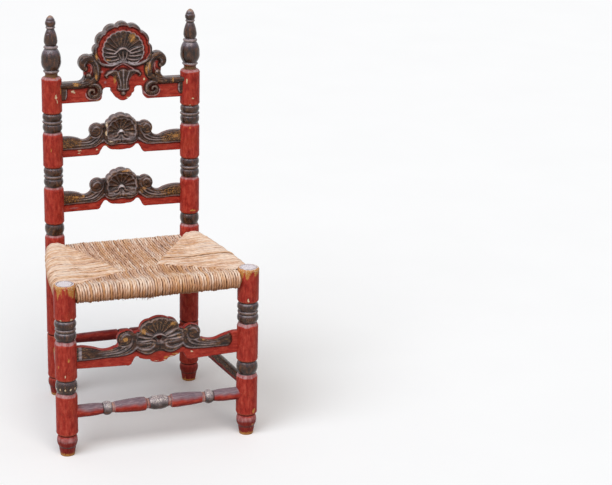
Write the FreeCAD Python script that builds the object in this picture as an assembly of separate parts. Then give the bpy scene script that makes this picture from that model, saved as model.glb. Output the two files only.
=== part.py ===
# Painted side chair: turned posts, carved back boards and apron, turned stretchers, rush seat.
# Millimetres, +Z up. The origin is on the floor under the middle of the chair and the front is -Y.
import FreeCAD, Part
import math
import os

Vector = FreeCAD.Vector

# Layout of the four posts
FRONT_SPACING = 478.6
REAR_SPACING = 372.8
DEPTH_SPACING = 381.6
FRONT_RADIUS = 28.0
REAR_RADIUS = 26.4
FRONT_HEIGHT = 465.7
REAR_HEIGHT = 1060.0

# Heights of the horizontal pieces at their axes
FRONT_STRETCHER_Z = 116.0
SIDE_STRETCHER_Z = 139.0
REAR_STRETCHER_Z = 157.0
FRONT_RAIL_Z = 437.0
REAR_RAIL_Z = 408.0
SIDE_RAIL_FRONT_Z = 433.0
SIDE_RAIL_REAR_Z = 426.0

# Round tenons stop short of the post's axis, so that two of them never meet
ROUND_TENON_RADIUS = 8.5
TENON_STOP = 10.5
TENON_ROOT = 5.0
SEAT_RAIL_RADIUS = 17.0

# Flat tenons of the carved boards
FLAT_TENON_THICKNESS = 11.0
FLAT_TENON_STOP = 6.0

# Carved boards: where each one's surfaces lie from the axis plane of its posts, and its middle
CREST_GROUND = -9.0
CREST_BACK = 12.0
CREST_MIDDLE_X = 2.0
SLAT_GROUND = 3.0
SLAT_BACK = 16.5
SLAT_MIDDLE_X = -2.0
UPPER_SLAT_Z = 674.0
LOWER_SLAT_Z = 521.5
APRON_GROUND = -3.5
APRON_BACK = 13.0
APRON_MIDDLE_X = 2.5
BOARD_END = 180.0
APRON_END = 232.0

# Rush around a rail: half of its width and half of its height
RUSH_HALF_WIDTH = 30.2
RUSH_HALF_HEIGHT = 23.0
RUSH_END_X_FRONT = 213.0
RUSH_END_X_REAR = 163.0
RUSH_MIDDLE_TOP = 442.0
RUSH_MIDDLE_BOTTOM = 418.0
PAD_COVER = 7.0
SHARE_REACH = 0.5

front_x = FRONT_SPACING / 2
rear_x = REAR_SPACING / 2
front_y = -DEPTH_SPACING / 2
rear_y = DEPTH_SPACING / 2


# Paths: a start point and steps, where (a, b) is a line and (ma, mb, a, b) an arc through (ma, mb)


def scaled(steps, factor_a, factor_b):
    """The steps with both coordinates multiplied."""
    factors = (factor_a, factor_b, factor_a, factor_b)
    return [tuple(value * factors[i] for i, value in enumerate(step)) for step in steps]


def walked_back(path):
    """The same path from its far end."""
    ends = [step[-2:] for step in path]
    back = [ends[-1]]
    for i in range(len(path) - 1, 0, -1):
        back.append(path[i][:-2] + ends[i - 1])
    return back


def edges_of(path, place):
    """Edges along a path, with place turning a pair of values into a point."""
    edges = []
    last = place(*path[0])
    for step in path[1:]:
        end = place(*step[-2:])
        if len(step) == 4:
            edges.append(Part.Arc(last, place(*step[:2]), end).toShape())
        else:
            edges.append(Part.makeLine(last, end))
        last = end
    return edges


def closed_face(path, place):
    """Flat face inside a path, closed by a straight edge where its ends lie apart."""
    edges = edges_of(path, place)
    first = edges[0].Vertexes[0].Point
    last = place(*path[-1][-2:])
    if (last - first).Length > 1e-6:
        edges.append(Part.makeLine(last, first))
    return Part.Face(Part.Wire(edges))


def mirrored_outline(bottom_z, right_path, top_z):
    """Whole outline of a board from its right side, with an arc across the bottom and the top."""
    left_path = walked_back(scaled(right_path, -1, 1))
    across_top = (0.0, top_z) + left_path[0]
    across_bottom = (0.0, bottom_z) + right_path[0]
    return right_path + [across_top] + left_path[1:] + [across_bottom]


# Turned pieces


def lathe(path, base, direction=Vector(0, 0, 1)):
    """Solid turned from a path of (radius, length along the axis)."""
    low = path[0][1]
    high = path[-1][-1]
    whole = [(0.0, low), path[0]] + list(path[1:]) + [(0.0, high)]
    face = closed_face(whole, lambda radius, along: Vector(radius, 0, along))
    solid = face.revolve(Vector(0, 0, 0), Vector(0, 0, 1), 360)
    solid.Placement = FreeCAD.Placement(base, FreeCAD.Rotation(Vector(0, 0, 1), direction))
    return solid


def bead(low, high, radius, neck):
    """Path of a rounded bead between two necks."""
    return [(neck, low), (radius, (low + high) / 2, neck, high)]


def drum(low, high, radius, neck, chamfer=8.5):
    """Path of a straight drum, rounded over at its lower end and chamfered at its upper end."""
    return [
        (neck, low),
        (radius - 0.9, low + 2.6, radius, low + 8.0),
        (radius, high - chamfer),
        (radius - 3.2, high),
        (neck, high + 1.6),
    ]


def foot(radius_bottom, radius, neck_z):
    """Path of a post's tapered foot with its bead."""
    return [
        (radius_bottom, 0.0),
        (radius_bottom + 4.0, 25.0),
        (radius, neck_z - 15.0, 22.0, neck_z),
    ]


def rear_post(x):
    radius = REAR_RADIUS
    neck = 22.6
    path = foot(18.5, 26.0, 52.0)
    path += drum(53.0, 177.4, radius, neck, chamfer=0.6)
    path += drum(180.0, 464.6, radius, neck)
    path += bead(468.0, 495.5, 26.0, neck)
    path += drum(497.0, 599.0, radius, neck)
    path += bead(601.8, 622.4, 25.9, neck)
    path += bead(623.6, 631.0, 25.6, 23.4)
    path += bead(632.0, 652.2, 25.9, neck)
    path += drum(653.6, 748.8, radius, neck)
    path += bead(751.6, 772.2, 25.9, neck)
    path += bead(773.0, 780.2, 26.3, 23.6)
    path += bead(781.0, 799.6, 25.9, neck)
    path += [
        (neck, 801.1),
        (radius - 0.9, 803.4, radius, 809.0),
        (radius, 887.0),
        (25.2, 894.0, 20.5, 897.8),
    ]
    path += finial()
    return lathe(path, Vector(x, rear_y, 0))


def finial():
    """Path of a rear post's top: cove, ring, bulb, ring, vase, ring and acorn."""
    return [
        (18.2, 898.2),
        (16.4, 904.0, 18.4, 909.8),
        (21.0, 913.2, 18.4, 916.6),
        (24.2, 926.5, 25.8, 943.5),
        (23.2, 961.0, 16.4, 973.0),
        (19.0, 976.6, 16.2, 980.2),
        (13.8, 981.2),
        (17.2, 987.2, 17.7, 995.5),
        (14.9, 1011.0, 9.4, 1025.2),
        (12.6, 1028.8, 10.8, 1031.6),
        (13.4, 1036.4, 11.6, 1047.0),
        (8.0, 1055.0, 2.6, 1059.6),
        (0.8, REAR_HEIGHT),
    ]


def front_post(x):
    radius = FRONT_RADIUS
    neck = 23.4
    path = foot(18.3, 26.6, 57.0)
    path += drum(58.2, 171.6, radius, neck)
    path += bead(175.0, 207.6, radius, neck)
    path += drum(209.6, 314.2, radius, neck)
    path += bead(317.8, 340.2, radius, neck)
    path += bead(341.4, 348.4, 26.8, 24.6)
    path += bead(349.4, 371.2, radius, neck)
    path += [
        (neck, 373.2),
        (radius - 0.9, 375.8, radius, 381.0),
        (radius, FRONT_HEIGHT - 5.0),
        (radius - 1.6, FRONT_HEIGHT - 1.4, radius - 5.0, FRONT_HEIGHT),
    ]
    return lathe(path, Vector(x, front_y, 0))


def balanced(half_path):
    """A turned path that is the same on both sides of its middle."""
    return walked_back(scaled(half_path, 1, -1)) + half_path[1:]


def spindle(half_path, start, end):
    """Turned piece between two points on the posts' axes, widest profile at its middle."""
    middle = (start + end) / 2
    return lathe(balanced(half_path), middle, (end - start).normalize())


def round_tenons(start, end, post_radii):
    """Round tenon at each end of a spindle, from inside it to near the post's axis."""
    length = (end - start).Length
    direction = (end - start) / length
    tenons = []
    ends = ((start, direction, post_radii[0]), (end, -direction, post_radii[1]))
    for axis_point, inward, radius in ends:
        reach = radius - TENON_STOP + TENON_ROOT
        tip = axis_point + inward * TENON_STOP
        tenons.append(Part.makeCylinder(ROUND_TENON_RADIUS, reach, tip, inward))
    return tenons


def front_stretcher_profile():
    return [
        (18.6, 0.0),
        (18.0, 12.5, 14.0, 24.5),
        (13.5, 26.0),
        (13.5, 32.0),
        (17.4, 34.5),
        (18.6, 46.0, 18.2, 60.0),
        (17.0, 88.0, 14.6, 115.5),
        (13.4, 117.5),
        (13.4, 124.0),
        (18.7, 135.0, 14.0, 146.0),
        (16.2, 166.0, 16.6, 190.0),
        (16.6, front_x),
    ]


def rear_stretcher_profile():
    return [
        (14.8, 0.0),
        (14.6, 7.0, 13.4, 13.5),
        (12.4, 14.5),
        (12.4, 16.5),
        (14.7, 19.0),
        (14.3, 80.0),
        (12.2, 160.0),
        (12.2, rear_x),
    ]


def side_stretcher_profile(length):
    return [(14.0, 0.0), (13.5, length * 0.26, 12.1, length * 0.45), (12.1, length / 2)]


def seat_rail_profile(length):
    return [(SEAT_RAIL_RADIUS, 0.0), (SEAT_RAIL_RADIUS, length / 2)]


# Carved boards


def slab(path, front, back):
    """Outline in the board's plane made solid between two depths."""
    face = closed_face(path, lambda across, up: Vector(across, front, up))
    return face.extrude(Vector(0, back - front, 0))


def disc(across, up, radius, front, back):
    return Part.makeCylinder(radius, back - front, Vector(across, front, up), Vector(0, 1, 0))


def both_sides(solids):
    """The solids and their mirror images across the board's middle."""
    return solids + [solid.mirror(Vector(0, 0, 0), Vector(1, 0, 0)) for solid in solids]


def scroll(across, up, radius, front, back):
    """Round scroll end: a disc with a ring groove and a raised eye."""
    body = disc(across, up, radius, front, back)
    groove = Part.makeTorus(radius * 0.6, radius * 0.16, Vector(across, front, up), Vector(0, 1, 0))
    return body.cut(groove)


def lobe_steps(centre_z, outer, inner, angles):
    """Scalloped steps of a shell's edge: valleys at the angles, a lobe between each two."""
    steps = []
    for first, second in zip(angles, angles[1:]):
        middle = math.radians((first + second) / 2)
        end = math.radians(second)
        steps.append(
            (
                outer * math.cos(middle),
                centre_z + outer * math.sin(middle),
                inner * math.cos(end),
                centre_z + inner * math.sin(end),
            )
        )
    return steps


def polar(centre_z, radius, angle):
    return (radius * math.cos(math.radians(angle)), centre_z + radius * math.sin(math.radians(angle)))


def flutes(hub_z, inner, outer, width, front, angles):
    """Cones that cut the hollow rays of a shell, lying in its front plane."""
    cones = []
    for angle in angles:
        ray = Vector(math.cos(math.radians(angle)), 0, math.sin(math.radians(angle)))
        foot_point = Vector(0, front, hub_z) + ray * inner
        cones.append(Part.makeCone(0.6, width, outer - inner, foot_point, ray))
    return cones


def carve(outline, ground, back, raised, cuts):
    """Board of one outline with raised masses kept inside it, and hollows cut in them."""
    board = slab(outline, ground, back)
    front = min(solid.BoundBox.YMin for solid in raised)
    limit = slab(outline, front, back)
    masses = raised[0].multiFuse(raised[1:]).common(limit)
    board = board.fuse(masses)
    if cuts:
        board = board.cut(Part.makeCompound(cuts))
    return board.removeSplitter()


def crest_rail():
    ground = CREST_GROUND
    inside = CREST_BACK - 4.0
    shell_z = 955.5
    valleys = [-3.0, 17.0, 47.0, 76.5]
    lobes = lobe_steps(shell_z, 79.5, 73.0, valleys)
    right = [
        (15.5, 831.5),
        (21.5, 835.5, 24.0, 843.0),
        (29.0, 846.0, 30.5, 853.0),
        (34.5, 860.0, 42.0, 861.5),
        (52.0, 858.5, 54.5, 850.0),
        (56.5, 840.0),
        (60.5, 829.0, 71.0, 825.5),
        (BOARD_END, 825.0),
        (BOARD_END, 880.0),
        (120.0, 880.0),
        (107.5, 885.0, 102.5, 898.0),
        (103.5, 908.2),
        (117.5, 929.0, 86.0, 949.6),
        polar(shell_z, 77.0, valleys[0]),
    ]
    outline = mirrored_outline(824.0, right + lobes, shell_z + 79.5)
    shell_right = [
        (14.0, 924.0),
        (40.0, 918.5, 62.0, 932.0),
        polar(shell_z, 77.0, valleys[0]),
    ]
    shell = slab(mirrored_outline(928.0, shell_right + lobes, shell_z + 79.5), ground - 8.0, inside)
    inner_lobes = lobe_steps(shell_z, 62.0, 58.5, [-30.0, -2.0, 22.0, 48.0, 76.0])
    inner_right = [(16.0, 930.0), (34.0, 924.0) + polar(shell_z, 58.5, -30.0)]
    inner_outline = mirrored_outline(932.0, inner_right + inner_lobes, shell_z + 62.0)
    dish = slab(inner_outline, ground - 9.0, ground - 4.5)
    ears = both_sides([scroll(95.0, 929.0, 22.5, ground - 6.5, inside)])
    neck = [(60.0, 880.0), (79.0, 883.0), (80.0, 926.0), (66.0, 932.0)]
    arm = [(64.0, 864.0), (BOARD_END, 864.0), (BOARD_END, 881.0), (62.0, 884.0)]
    cuff = [(147.0, 836.0), (BOARD_END, 836.0), (BOARD_END, 866.0), (147.0, 866.0)]
    bands = both_sides(
        [
            slab(neck, ground - 5.5, inside),
            slab(arm, ground - 5.0, inside),
            slab(cuff, ground - 3.0, inside),
            scroll(77.0, 849.0, 17.0, ground - 5.5, inside),
        ]
    )
    tulip_right = [
        (9.0, 851.0),
        (14.0, 853.0, 14.5, 862.0),
        (17.0, 884.0, 30.0, 896.0),
        (41.0, 900.0),
        (30.0, 906.5, 14.0, 905.0),
    ]
    tulip = slab(mirrored_outline(849.5, tulip_right, 910.0), ground - 6.5, inside)
    knob = disc(0.0, 843.5, 6.5, ground - 5.0, inside)
    veins = []
    for x in (-6.0, 6.0):
        low_end = Vector(x, ground - 6.5, 857.0)
        veins.append(Part.makeCone(0.8, 2.2, 42.0, low_end, Vector(x * 0.006, 0, 1)))
    rays = flutes(948.0, 12.0, 70.0, 8.2, ground - 4.5, range(10, 171, 20))
    masses = [shell.cut(dish), tulip, knob] + ears + bands
    return carve(outline, ground, CREST_BACK, masses, rays + veins)


def back_slat():
    """One of the two alike back slats, with z counted from its lower edge."""
    ground = SLAT_GROUND
    inside = SLAT_BACK - 4.0
    shell_z = 65.5
    valleys = [26.0, 45.0, 72.0]
    lobes = lobe_steps(shell_z, 47.5, 45.0, valleys)
    right = [
        (17.0, 13.0),
        (29.0, 15.0, 38.0, 22.0),
        (44.0, 25.0, 50.0, 21.0),
        (57.0, 10.0),
        (61.5, 2.5, 70.0, 1.0),
        (BOARD_END, 0.0),
        (BOARD_END, 53.5),
        (134.0, 55.0, 112.0, 49.0),
        (97.0, 45.5, 88.5, 50.0),
        (84.5, 54.0, 83.0, 59.0),
        (85.5, 70.0, 74.5, 85.5),
        (65.5, 88.0, 53.0, 84.0),
        polar(shell_z, 46.0, valleys[0]),
    ]
    outline = mirrored_outline(11.5, right + lobes, 113.0)
    shell_right = [(16.0, 27.0), (38.0, 30.0, 44.0, 52.0), polar(shell_z, 46.0, valleys[0])]
    shell = slab(mirrored_outline(31.0, shell_right + lobes, 113.0), ground - 8.0, inside)
    dish = slab(
        mirrored_outline(62.0, [(26.0, 60.0), (39.0, 66.0), (34.0, 92.0, 14.0, 103.0)], 106.5),
        ground - 9.0,
        ground - 4.0,
    )
    ears = both_sides([scroll(65.5, 67.0, 20.5, ground - 6.0, inside)])
    arm = [
        (48.0, 40.0),
        (60.0, 25.5, 80.0, 23.0),
        (BOARD_END, 23.0),
        (BOARD_END, 60.0),
        (80.0, 60.0),
        (48.0, 70.0),
    ]
    arms = both_sides([slab(arm, ground - 4.5, inside)])
    rays = flutes(61.0, 10.0, 52.0, 6.6, ground - 4.0, range(18, 163, 24))
    petals = flutes(46.0, 6.0, 40.0, 7.0, ground - 8.0, (-24.0, 204.0))
    return carve(outline, ground, SLAT_BACK, [shell.cut(dish)] + ears + arms, rays + petals)


def front_apron():
    ground = APRON_GROUND
    inside = APRON_BACK - 4.0
    shell_z = 297.0
    valleys = [24.0, 64.0]
    lobes = lobe_steps(shell_z, 61.5, 56.0, valleys)
    right = [
        (15.0, 231.5),
        (21.0, 234.5, 25.0, 239.5),
        (40.0, 241.5, 52.0, 246.0),
        (58.0, 251.0, 65.0, 247.0),
        (71.0, 236.0),
        (76.0, 229.5, 86.0, 228.8),
        (APRON_END, 234.0),
        (APRON_END, 292.5),
        (200.0, 292.5),
        (178.0, 288.0, 160.0, 282.0),
        (136.0, 277.5, 116.0, 283.0),
        (108.5, 286.0, 107.0, 293.0),
        (107.5, 311.0, 91.0, 323.0),
        (77.0, 324.0, 66.0, 316.0),
        polar(shell_z, 56.0, valleys[0]),
    ]
    outline = mirrored_outline(229.0, right + lobes, 354.0)
    shell_right = [
        (14.0, 261.0),
        (40.0, 255.0, 58.0, 276.0),
        (63.0, 296.0, 61.0, 314.0),
        polar(shell_z, 56.0, valleys[0]),
    ]
    shell = slab(mirrored_outline(264.0, shell_right + lobes, 354.0), ground - 7.0, inside)
    ears = both_sides([scroll(86.0, 302.0, 21.5, ground - 5.5, inside)])
    arm = [
        (62.0, 285.0),
        (76.0, 262.0, 104.0, 258.0),
        (186.0, 257.0),
        (194.0, 268.0, 186.0, 300.0),
        (62.0, 300.0),
    ]
    arms = both_sides([slab(arm, ground - 4.5, inside)])
    rays = flutes(297.0, 12.0, 62.0, 8.0, ground - 7.0, range(20, 161, 28))
    petals = flutes(282.0, 8.0, 48.0, 8.5, ground - 7.0, (-20.0, 200.0))
    return carve(outline, ground, APRON_BACK, [shell] + ears + arms, rays + petals)


def flat_tenons(half_spacing, post_radius, low, high, middle_y):
    """Flat tenon at each end of a board, from inside it to near the post's axis."""
    root = half_spacing - post_radius - TENON_ROOT
    end = half_spacing - FLAT_TENON_STOP
    tenons = []
    for side in (-1, 1):
        start_x = root if side > 0 else -end
        corner = Vector(start_x, middle_y - FLAT_TENON_THICKNESS / 2, low)
        tenons.append(Part.makeBox(end - root, FLAT_TENON_THICKNESS, high - low, corner))
    return tenons


# Rush seat


def ellipse_wire(centre, outward, half_width, half_height):
    ellipse = Part.Ellipse(centre + outward * half_width, centre + Vector(0, 0, half_height), centre)
    return Part.Wire(ellipse.toShape())


def rush_roll(start, end, outward, sections):
    """Rush wound round one rail: a loft through ovals at stated distances along the rail."""
    along = (end - start).normalize()
    wires = []
    for distance, half_width, half_height in sections:
        wires.append(ellipse_wire(start + along * distance, outward, half_width, half_height))
    return Part.makeLoft(wires, True, False)


def wedge(plan, tops, bottoms):
    """Section of the seat between a rail and the seams: upright walls under a flat sloping top."""
    high = [Vector(x, y, z) for (x, y), z in zip(plan, tops)]
    low = [Vector(x, y, z) for (x, y), z in zip(plan, bottoms)]
    faces = [Part.Face(Part.makePolygon(ring + ring[:1])) for ring in (high, low)]
    for i in range(len(plan)):
        j = (i + 1) % len(plan)
        faces.append(Part.Face(Part.makePolygon([low[i], low[j], high[j], high[i], low[i]])))
    return Part.Solid(Part.Shell(faces))


def seat_plan():
    """Corners of the seat at the posts' axes, and the two ends of the middle seam."""
    return {
        "front_left": (-front_x, front_y),
        "front_right": (front_x, front_y),
        "rear_left": (-rear_x, rear_y),
        "rear_right": (rear_x, rear_y),
        "seam_left": (-75.0, -102.0),
        "seam_right": (30.0, -72.0),
    }


def sloped(point, edge_y, edge_z, seam_z):
    """Height at a point of a section that falls evenly from its rail to the middle seam."""
    seam_y = -87.0
    return edge_z + (seam_z - edge_z) * (point[1] - edge_y) / (seam_y - edge_y)


def seat_wedges():
    plan = seat_plan()
    top = RUSH_MIDDLE_TOP
    bottom = RUSH_MIDDLE_BOTTOM
    solids = []
    for names, edge_y, edge_z in (
        (("front_left", "front_right", "seam_right", "seam_left"), front_y, FRONT_RAIL_Z),
        (("rear_right", "rear_left", "seam_left", "seam_right"), rear_y, REAR_RAIL_Z),
    ):
        corners = [plan[name] for name in names]
        high = edge_z + RUSH_HALF_HEIGHT - 1.5
        low = edge_z - RUSH_HALF_HEIGHT + 1.5
        tops = [sloped(point, edge_y, high, top) for point in corners]
        bottoms = [sloped(point, edge_y, low, bottom) for point in corners]
        solids.append(wedge(corners, tops, bottoms))
    for names in (("rear_left", "front_left", "seam_left"), ("front_right", "rear_right", "seam_right")):
        corners = [plan[name] for name in names]
        rails = []
        for name in names[:2]:
            rails.append(SIDE_RAIL_FRONT_Z if name.startswith("front") else SIDE_RAIL_REAR_Z)
        tops = [rail + RUSH_HALF_HEIGHT - 1.5 for rail in rails] + [top]
        bottoms = [rail - RUSH_HALF_HEIGHT + 1.5 for rail in rails] + [bottom]
        solids.append(wedge(corners, tops, bottoms))
    return solids


def seat_rolls():
    wide = RUSH_HALF_WIDTH
    high = RUSH_HALF_HEIGHT
    rolls = []
    for rail_y, rail_z, end_x, outward in (
        (front_y, FRONT_RAIL_Z, RUSH_END_X_FRONT, Vector(0, -1, 0)),
        (rear_y, REAR_RAIL_Z, RUSH_END_X_REAR, Vector(0, 1, 0)),
    ):
        start = Vector(-end_x, rail_y, rail_z)
        end = Vector(end_x, rail_y, rail_z)
        sections = [
            (0.0, wide - 2.0, high - 1.0),
            (end_x, wide, high + 1.0),
            (2 * end_x, wide - 2.0, high - 1.0),
        ]
        rolls.append(rush_roll(start, end, outward, sections))
    for side in (-1, 1):
        start = Vector(side * front_x, front_y, SIDE_RAIL_FRONT_Z)
        end = Vector(side * rear_x, rear_y, SIDE_RAIL_REAR_Z)
        length = (end - start).Length
        flat = Vector(end.x - start.x, end.y - start.y, 0).normalize()
        outward = Vector(side * flat.y, -side * flat.x, 0)
        sections = [
            (18.0, 23.0, high - 2.0),
            (90.0, 30.0, high),
            (length / 2, 33.0, high),
            (length - 90.0, 29.0, high),
            (length - 14.0, 20.0, high - 4.5),
        ]
        rolls.append(rush_roll(start, end, outward, sections))
    return rolls


def seat_shares():
    """Upright prism over each section's share of the seat, bounded by the seams carried on past the posts."""
    plan = seat_plan()
    beyond = {}
    for corner in ("front_left", "front_right", "rear_left", "rear_right"):
        x, y = plan[corner]
        seam_x, seam_y = plan["seam_" + corner.split("_")[1]]
        beyond[corner] = (x + SHARE_REACH * (x - seam_x), y + SHARE_REACH * (y - seam_y))
    left = plan["seam_left"]
    right = plan["seam_right"]
    outlines = (
        [left, beyond["front_left"], beyond["front_right"], right],
        [right, beyond["rear_right"], beyond["rear_left"], left],
        [left, beyond["rear_left"], beyond["front_left"]],
        [right, beyond["front_right"], beyond["rear_right"]],
    )
    shares = []
    for outline in outlines:
        corners = [Vector(x, y, RUSH_MIDDLE_BOTTOM - 60.0) for x, y in outline]
        face = Part.Face(Part.makePolygon(corners + corners[:1]))
        shares.append(face.extrude(Vector(0, 0, 120.0)))
    return shares


def seat_sections():
    """Rush wound over each rail, as one solid for each of the four sections that meet at the seams."""
    sections = []
    for roll, middle, share in zip(seat_rolls(), seat_wedges(), seat_shares()):
        sections.append(roll.fuse(middle).common(share))
    return sections


def stuffing_pads():
    """Pads inside the four sections of the seat, sloping with them."""
    top = RUSH_MIDDLE_TOP - PAD_COVER
    bottom = RUSH_MIDDLE_BOTTOM + PAD_COVER
    cover = RUSH_HALF_HEIGHT - PAD_COVER
    pads = []
    for plan, edge_y, edge_z in (
        ([(-150.0, -152.0), (150.0, -152.0), (40.0, -96.0), (-72.0, -122.0)], front_y, FRONT_RAIL_Z),
        ([(120.0, 150.0), (-120.0, 150.0), (-62.0, -80.0), (25.0, -52.0)], rear_y, REAR_RAIL_Z),
    ):
        tops = [sloped(point, edge_y, edge_z + cover, top) for point in plan]
        bottoms = [sloped(point, edge_y, edge_z - cover, bottom) for point in plan]
        pads.append(wedge(plan, tops, bottoms))
    for plan in (
        [(-192.0, -100.0), (-104.0, -90.0), (-166.0, 96.0)],
        [(192.0, -100.0), (166.0, 96.0), (66.0, -62.0)],
    ):
        pads.append(wedge(plan, [top] * 3, [bottom] * 3))
    return pads


# Assembly


def build():
    posts = {
        "rear_post_left": rear_post(-rear_x),
        "rear_post_right": rear_post(rear_x),
        "front_post_left": front_post(-front_x),
        "front_post_right": front_post(front_x),
    }
    whole_posts = list(posts.values())
    nodes = {}
    tenons = []

    def fit(name, body, own_tenons):
        """Cope a piece to the posts and give it its tenons."""
        nodes[name] = body.cut(Part.makeCompound(whole_posts)).multiFuse(own_tenons)
        tenons.extend(own_tenons)

    boards = (
        ("crest_rail", crest_rail(), CREST_MIDDLE_X, 0.0, CREST_GROUND, CREST_BACK, 834.0, 872.0),
        ("upper_slat", back_slat(), SLAT_MIDDLE_X, UPPER_SLAT_Z, SLAT_GROUND, SLAT_BACK, 682.0, 720.0),
        ("lower_slat", back_slat(), SLAT_MIDDLE_X, LOWER_SLAT_Z, SLAT_GROUND, SLAT_BACK, 529.5, 567.5),
    )
    for name, board, middle_x, base_z, ground, back, low, high in boards:
        board.translate(Vector(middle_x, rear_y, base_z))
        middle_y = rear_y + (ground + back) / 2
        fit(name, board, flat_tenons(rear_x, REAR_RADIUS, low, high, middle_y))
    apron = front_apron()
    apron.translate(Vector(APRON_MIDDLE_X, front_y, 0))
    middle_y = front_y + (APRON_GROUND + APRON_BACK) / 2
    fit("front_apron", apron, flat_tenons(front_x, FRONT_RADIUS, 243.0, 283.0, middle_y))

    front_rail = seat_rail_profile(FRONT_SPACING)
    rear_rail = seat_rail_profile(REAR_SPACING)
    for name, profile, half_width, y, z, radius in (
        ("front_stretcher", front_stretcher_profile(), front_x, front_y, FRONT_STRETCHER_Z, FRONT_RADIUS),
        ("rear_stretcher", rear_stretcher_profile(), rear_x, rear_y, REAR_STRETCHER_Z, REAR_RADIUS),
        ("seat_rail_front", front_rail, front_x, front_y, FRONT_RAIL_Z, FRONT_RADIUS),
        ("seat_rail_rear", rear_rail, rear_x, rear_y, REAR_RAIL_Z, REAR_RADIUS),
    ):
        start = Vector(-half_width, y, z)
        end = Vector(half_width, y, z)
        fit(name, spindle(profile, start, end), round_tenons(start, end, (radius, radius)))

    for word, side in (("left", -1), ("right", 1)):
        for kind, profile_of, front_z, rear_z in (
            ("side_stretcher", side_stretcher_profile, SIDE_STRETCHER_Z, SIDE_STRETCHER_Z),
            ("seat_rail", seat_rail_profile, SIDE_RAIL_FRONT_Z, SIDE_RAIL_REAR_Z),
        ):
            start = Vector(side * front_x, front_y, front_z)
            end = Vector(side * rear_x, rear_y, rear_z)
            length = (end - start).Length
            profile = profile_of(length)
            own_tenons = round_tenons(start, end, (FRONT_RADIUS, REAR_RADIUS))
            fit(kind + "_" + word, spindle(profile, start, end), own_tenons)

    side_rails = [nodes["seat_rail_left"], nodes["seat_rail_right"]]
    for name in ("seat_rail_front", "seat_rail_rear"):
        nodes[name] = nodes[name].cut(Part.makeCompound(side_rails))

    rails = [nodes["seat_rail_" + word] for word in ("front", "rear", "left", "right")]
    pads = stuffing_pads()
    hollow = Part.makeCompound(rails + pads)
    rush = [section.cut(Part.makeCompound(whole_posts)).cut(hollow) for section in seat_sections()]
    nodes["rush_seat"] = Part.makeCompound([solid for section in rush for solid in section.Solids])
    nodes["seat_stuffing"] = Part.makeCompound(pads)

    mortises = Part.makeCompound(tenons)
    for name, post in posts.items():
        nodes[name] = post.cut(mortises)
    return nodes


def main():
    os.makedirs("parts", exist_ok=True)
    for name, shape in build().items():
        shape.exportStep(os.path.join("parts", name + ".step"))
        box = shape.BoundBox
        print(
            f"{name:22} solids {len(shape.Solids)} valid {shape.isValid()}"
            f" volume {shape.Volume / 1000:8.1f} cm3"
            f"  x {box.XMin:7.1f} {box.XMax:7.1f}  y {box.YMin:7.1f} {box.YMax:7.1f}"
            f"  z {box.ZMin:7.1f} {box.ZMax:7.1f}"
        )


main()
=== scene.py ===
import math

import bpy
import numpy as np
from mathutils import Matrix, Vector
from mathutils.geometry import delaunay_2d_cdt


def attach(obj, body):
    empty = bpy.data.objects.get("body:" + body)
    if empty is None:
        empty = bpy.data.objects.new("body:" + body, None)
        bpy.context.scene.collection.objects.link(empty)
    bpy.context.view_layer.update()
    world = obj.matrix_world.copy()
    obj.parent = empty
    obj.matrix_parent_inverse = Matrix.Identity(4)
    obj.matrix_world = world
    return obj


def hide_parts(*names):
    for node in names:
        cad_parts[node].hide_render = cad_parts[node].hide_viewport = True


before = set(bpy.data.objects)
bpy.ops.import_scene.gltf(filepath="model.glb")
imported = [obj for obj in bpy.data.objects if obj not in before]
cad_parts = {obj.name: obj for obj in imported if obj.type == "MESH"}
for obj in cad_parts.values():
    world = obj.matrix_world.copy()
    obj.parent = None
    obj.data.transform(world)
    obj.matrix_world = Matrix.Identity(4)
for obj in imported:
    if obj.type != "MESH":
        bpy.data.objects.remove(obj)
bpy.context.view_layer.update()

# Painted side chair: the looks of its posts, carved boards, stretchers and rush seat.
# Lengths are in millimetres until a mesh is made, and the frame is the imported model's.
MM = 0.001
TAU = 2 * math.pi
UP = np.array([0, 0, 1.0])

# Layout of the posts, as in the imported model
FRONT_X, FRONT_Y = 239.3, -190.8
REAR_X, REAR_Y = 186.4, 190.8
FRONT_RADIUS = 28.0
REAR_RADIUS = 26.4
FRONT_HEIGHT = 465.7
REAR_HEIGHT = 1060.0

# Heights of the stretchers' axes and of the slats' lower edges
FRONT_STRETCHER_Z, SIDE_STRETCHER_Z, REAR_STRETCHER_Z = 116.0, 139.0, 157.0
LOWER_SLAT_Z, UPPER_SLAT_Z = 521.5, 674.0


# Smooth random fields


def ripple(points, wavelength, seed, waves=20):
    """Smooth random value at each point, mostly between -1 and 1, from plane waves."""
    points = np.asarray(points, float)
    draw = np.random.default_rng(seed)
    directions = draw.normal(size=(waves, points.shape[-1]))
    directions /= np.linalg.norm(directions, axis=1)[:, None]
    lengths = wavelength * draw.uniform(0.7, 1.5, waves)
    phases = draw.uniform(0, TAU, waves)
    total = np.zeros(points.shape[:-1])
    for vector, phase in zip(directions * (TAU / lengths)[:, None], phases):
        total += np.sin(points @ vector + phase)
    return total / math.sqrt(2 * waves)


def smooth(low, high, value):
    """Smooth step from 0 at low to 1 at high."""
    t = np.clip((value - low) / (high - low), 0, 1)
    return t * t * (3 - 2 * t)


def most(*fields):
    """Largest of several fields at each point."""
    return np.maximum.reduce(fields)


# Paths: a start point and steps, where (a, b) is a line and (ma, mb, a, b) an arc through (ma, mb)


def scaled(steps, factor_a, factor_b):
    factors = (factor_a, factor_b, factor_a, factor_b)
    return [tuple(value * factor for value, factor in zip(step, factors)) for step in steps]


def walked_back(path):
    ends = [step[-2:] for step in path]
    return ends[-1:] + [path[i][:-2] + ends[i - 1] for i in range(len(path) - 1, 0, -1)]


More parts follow.
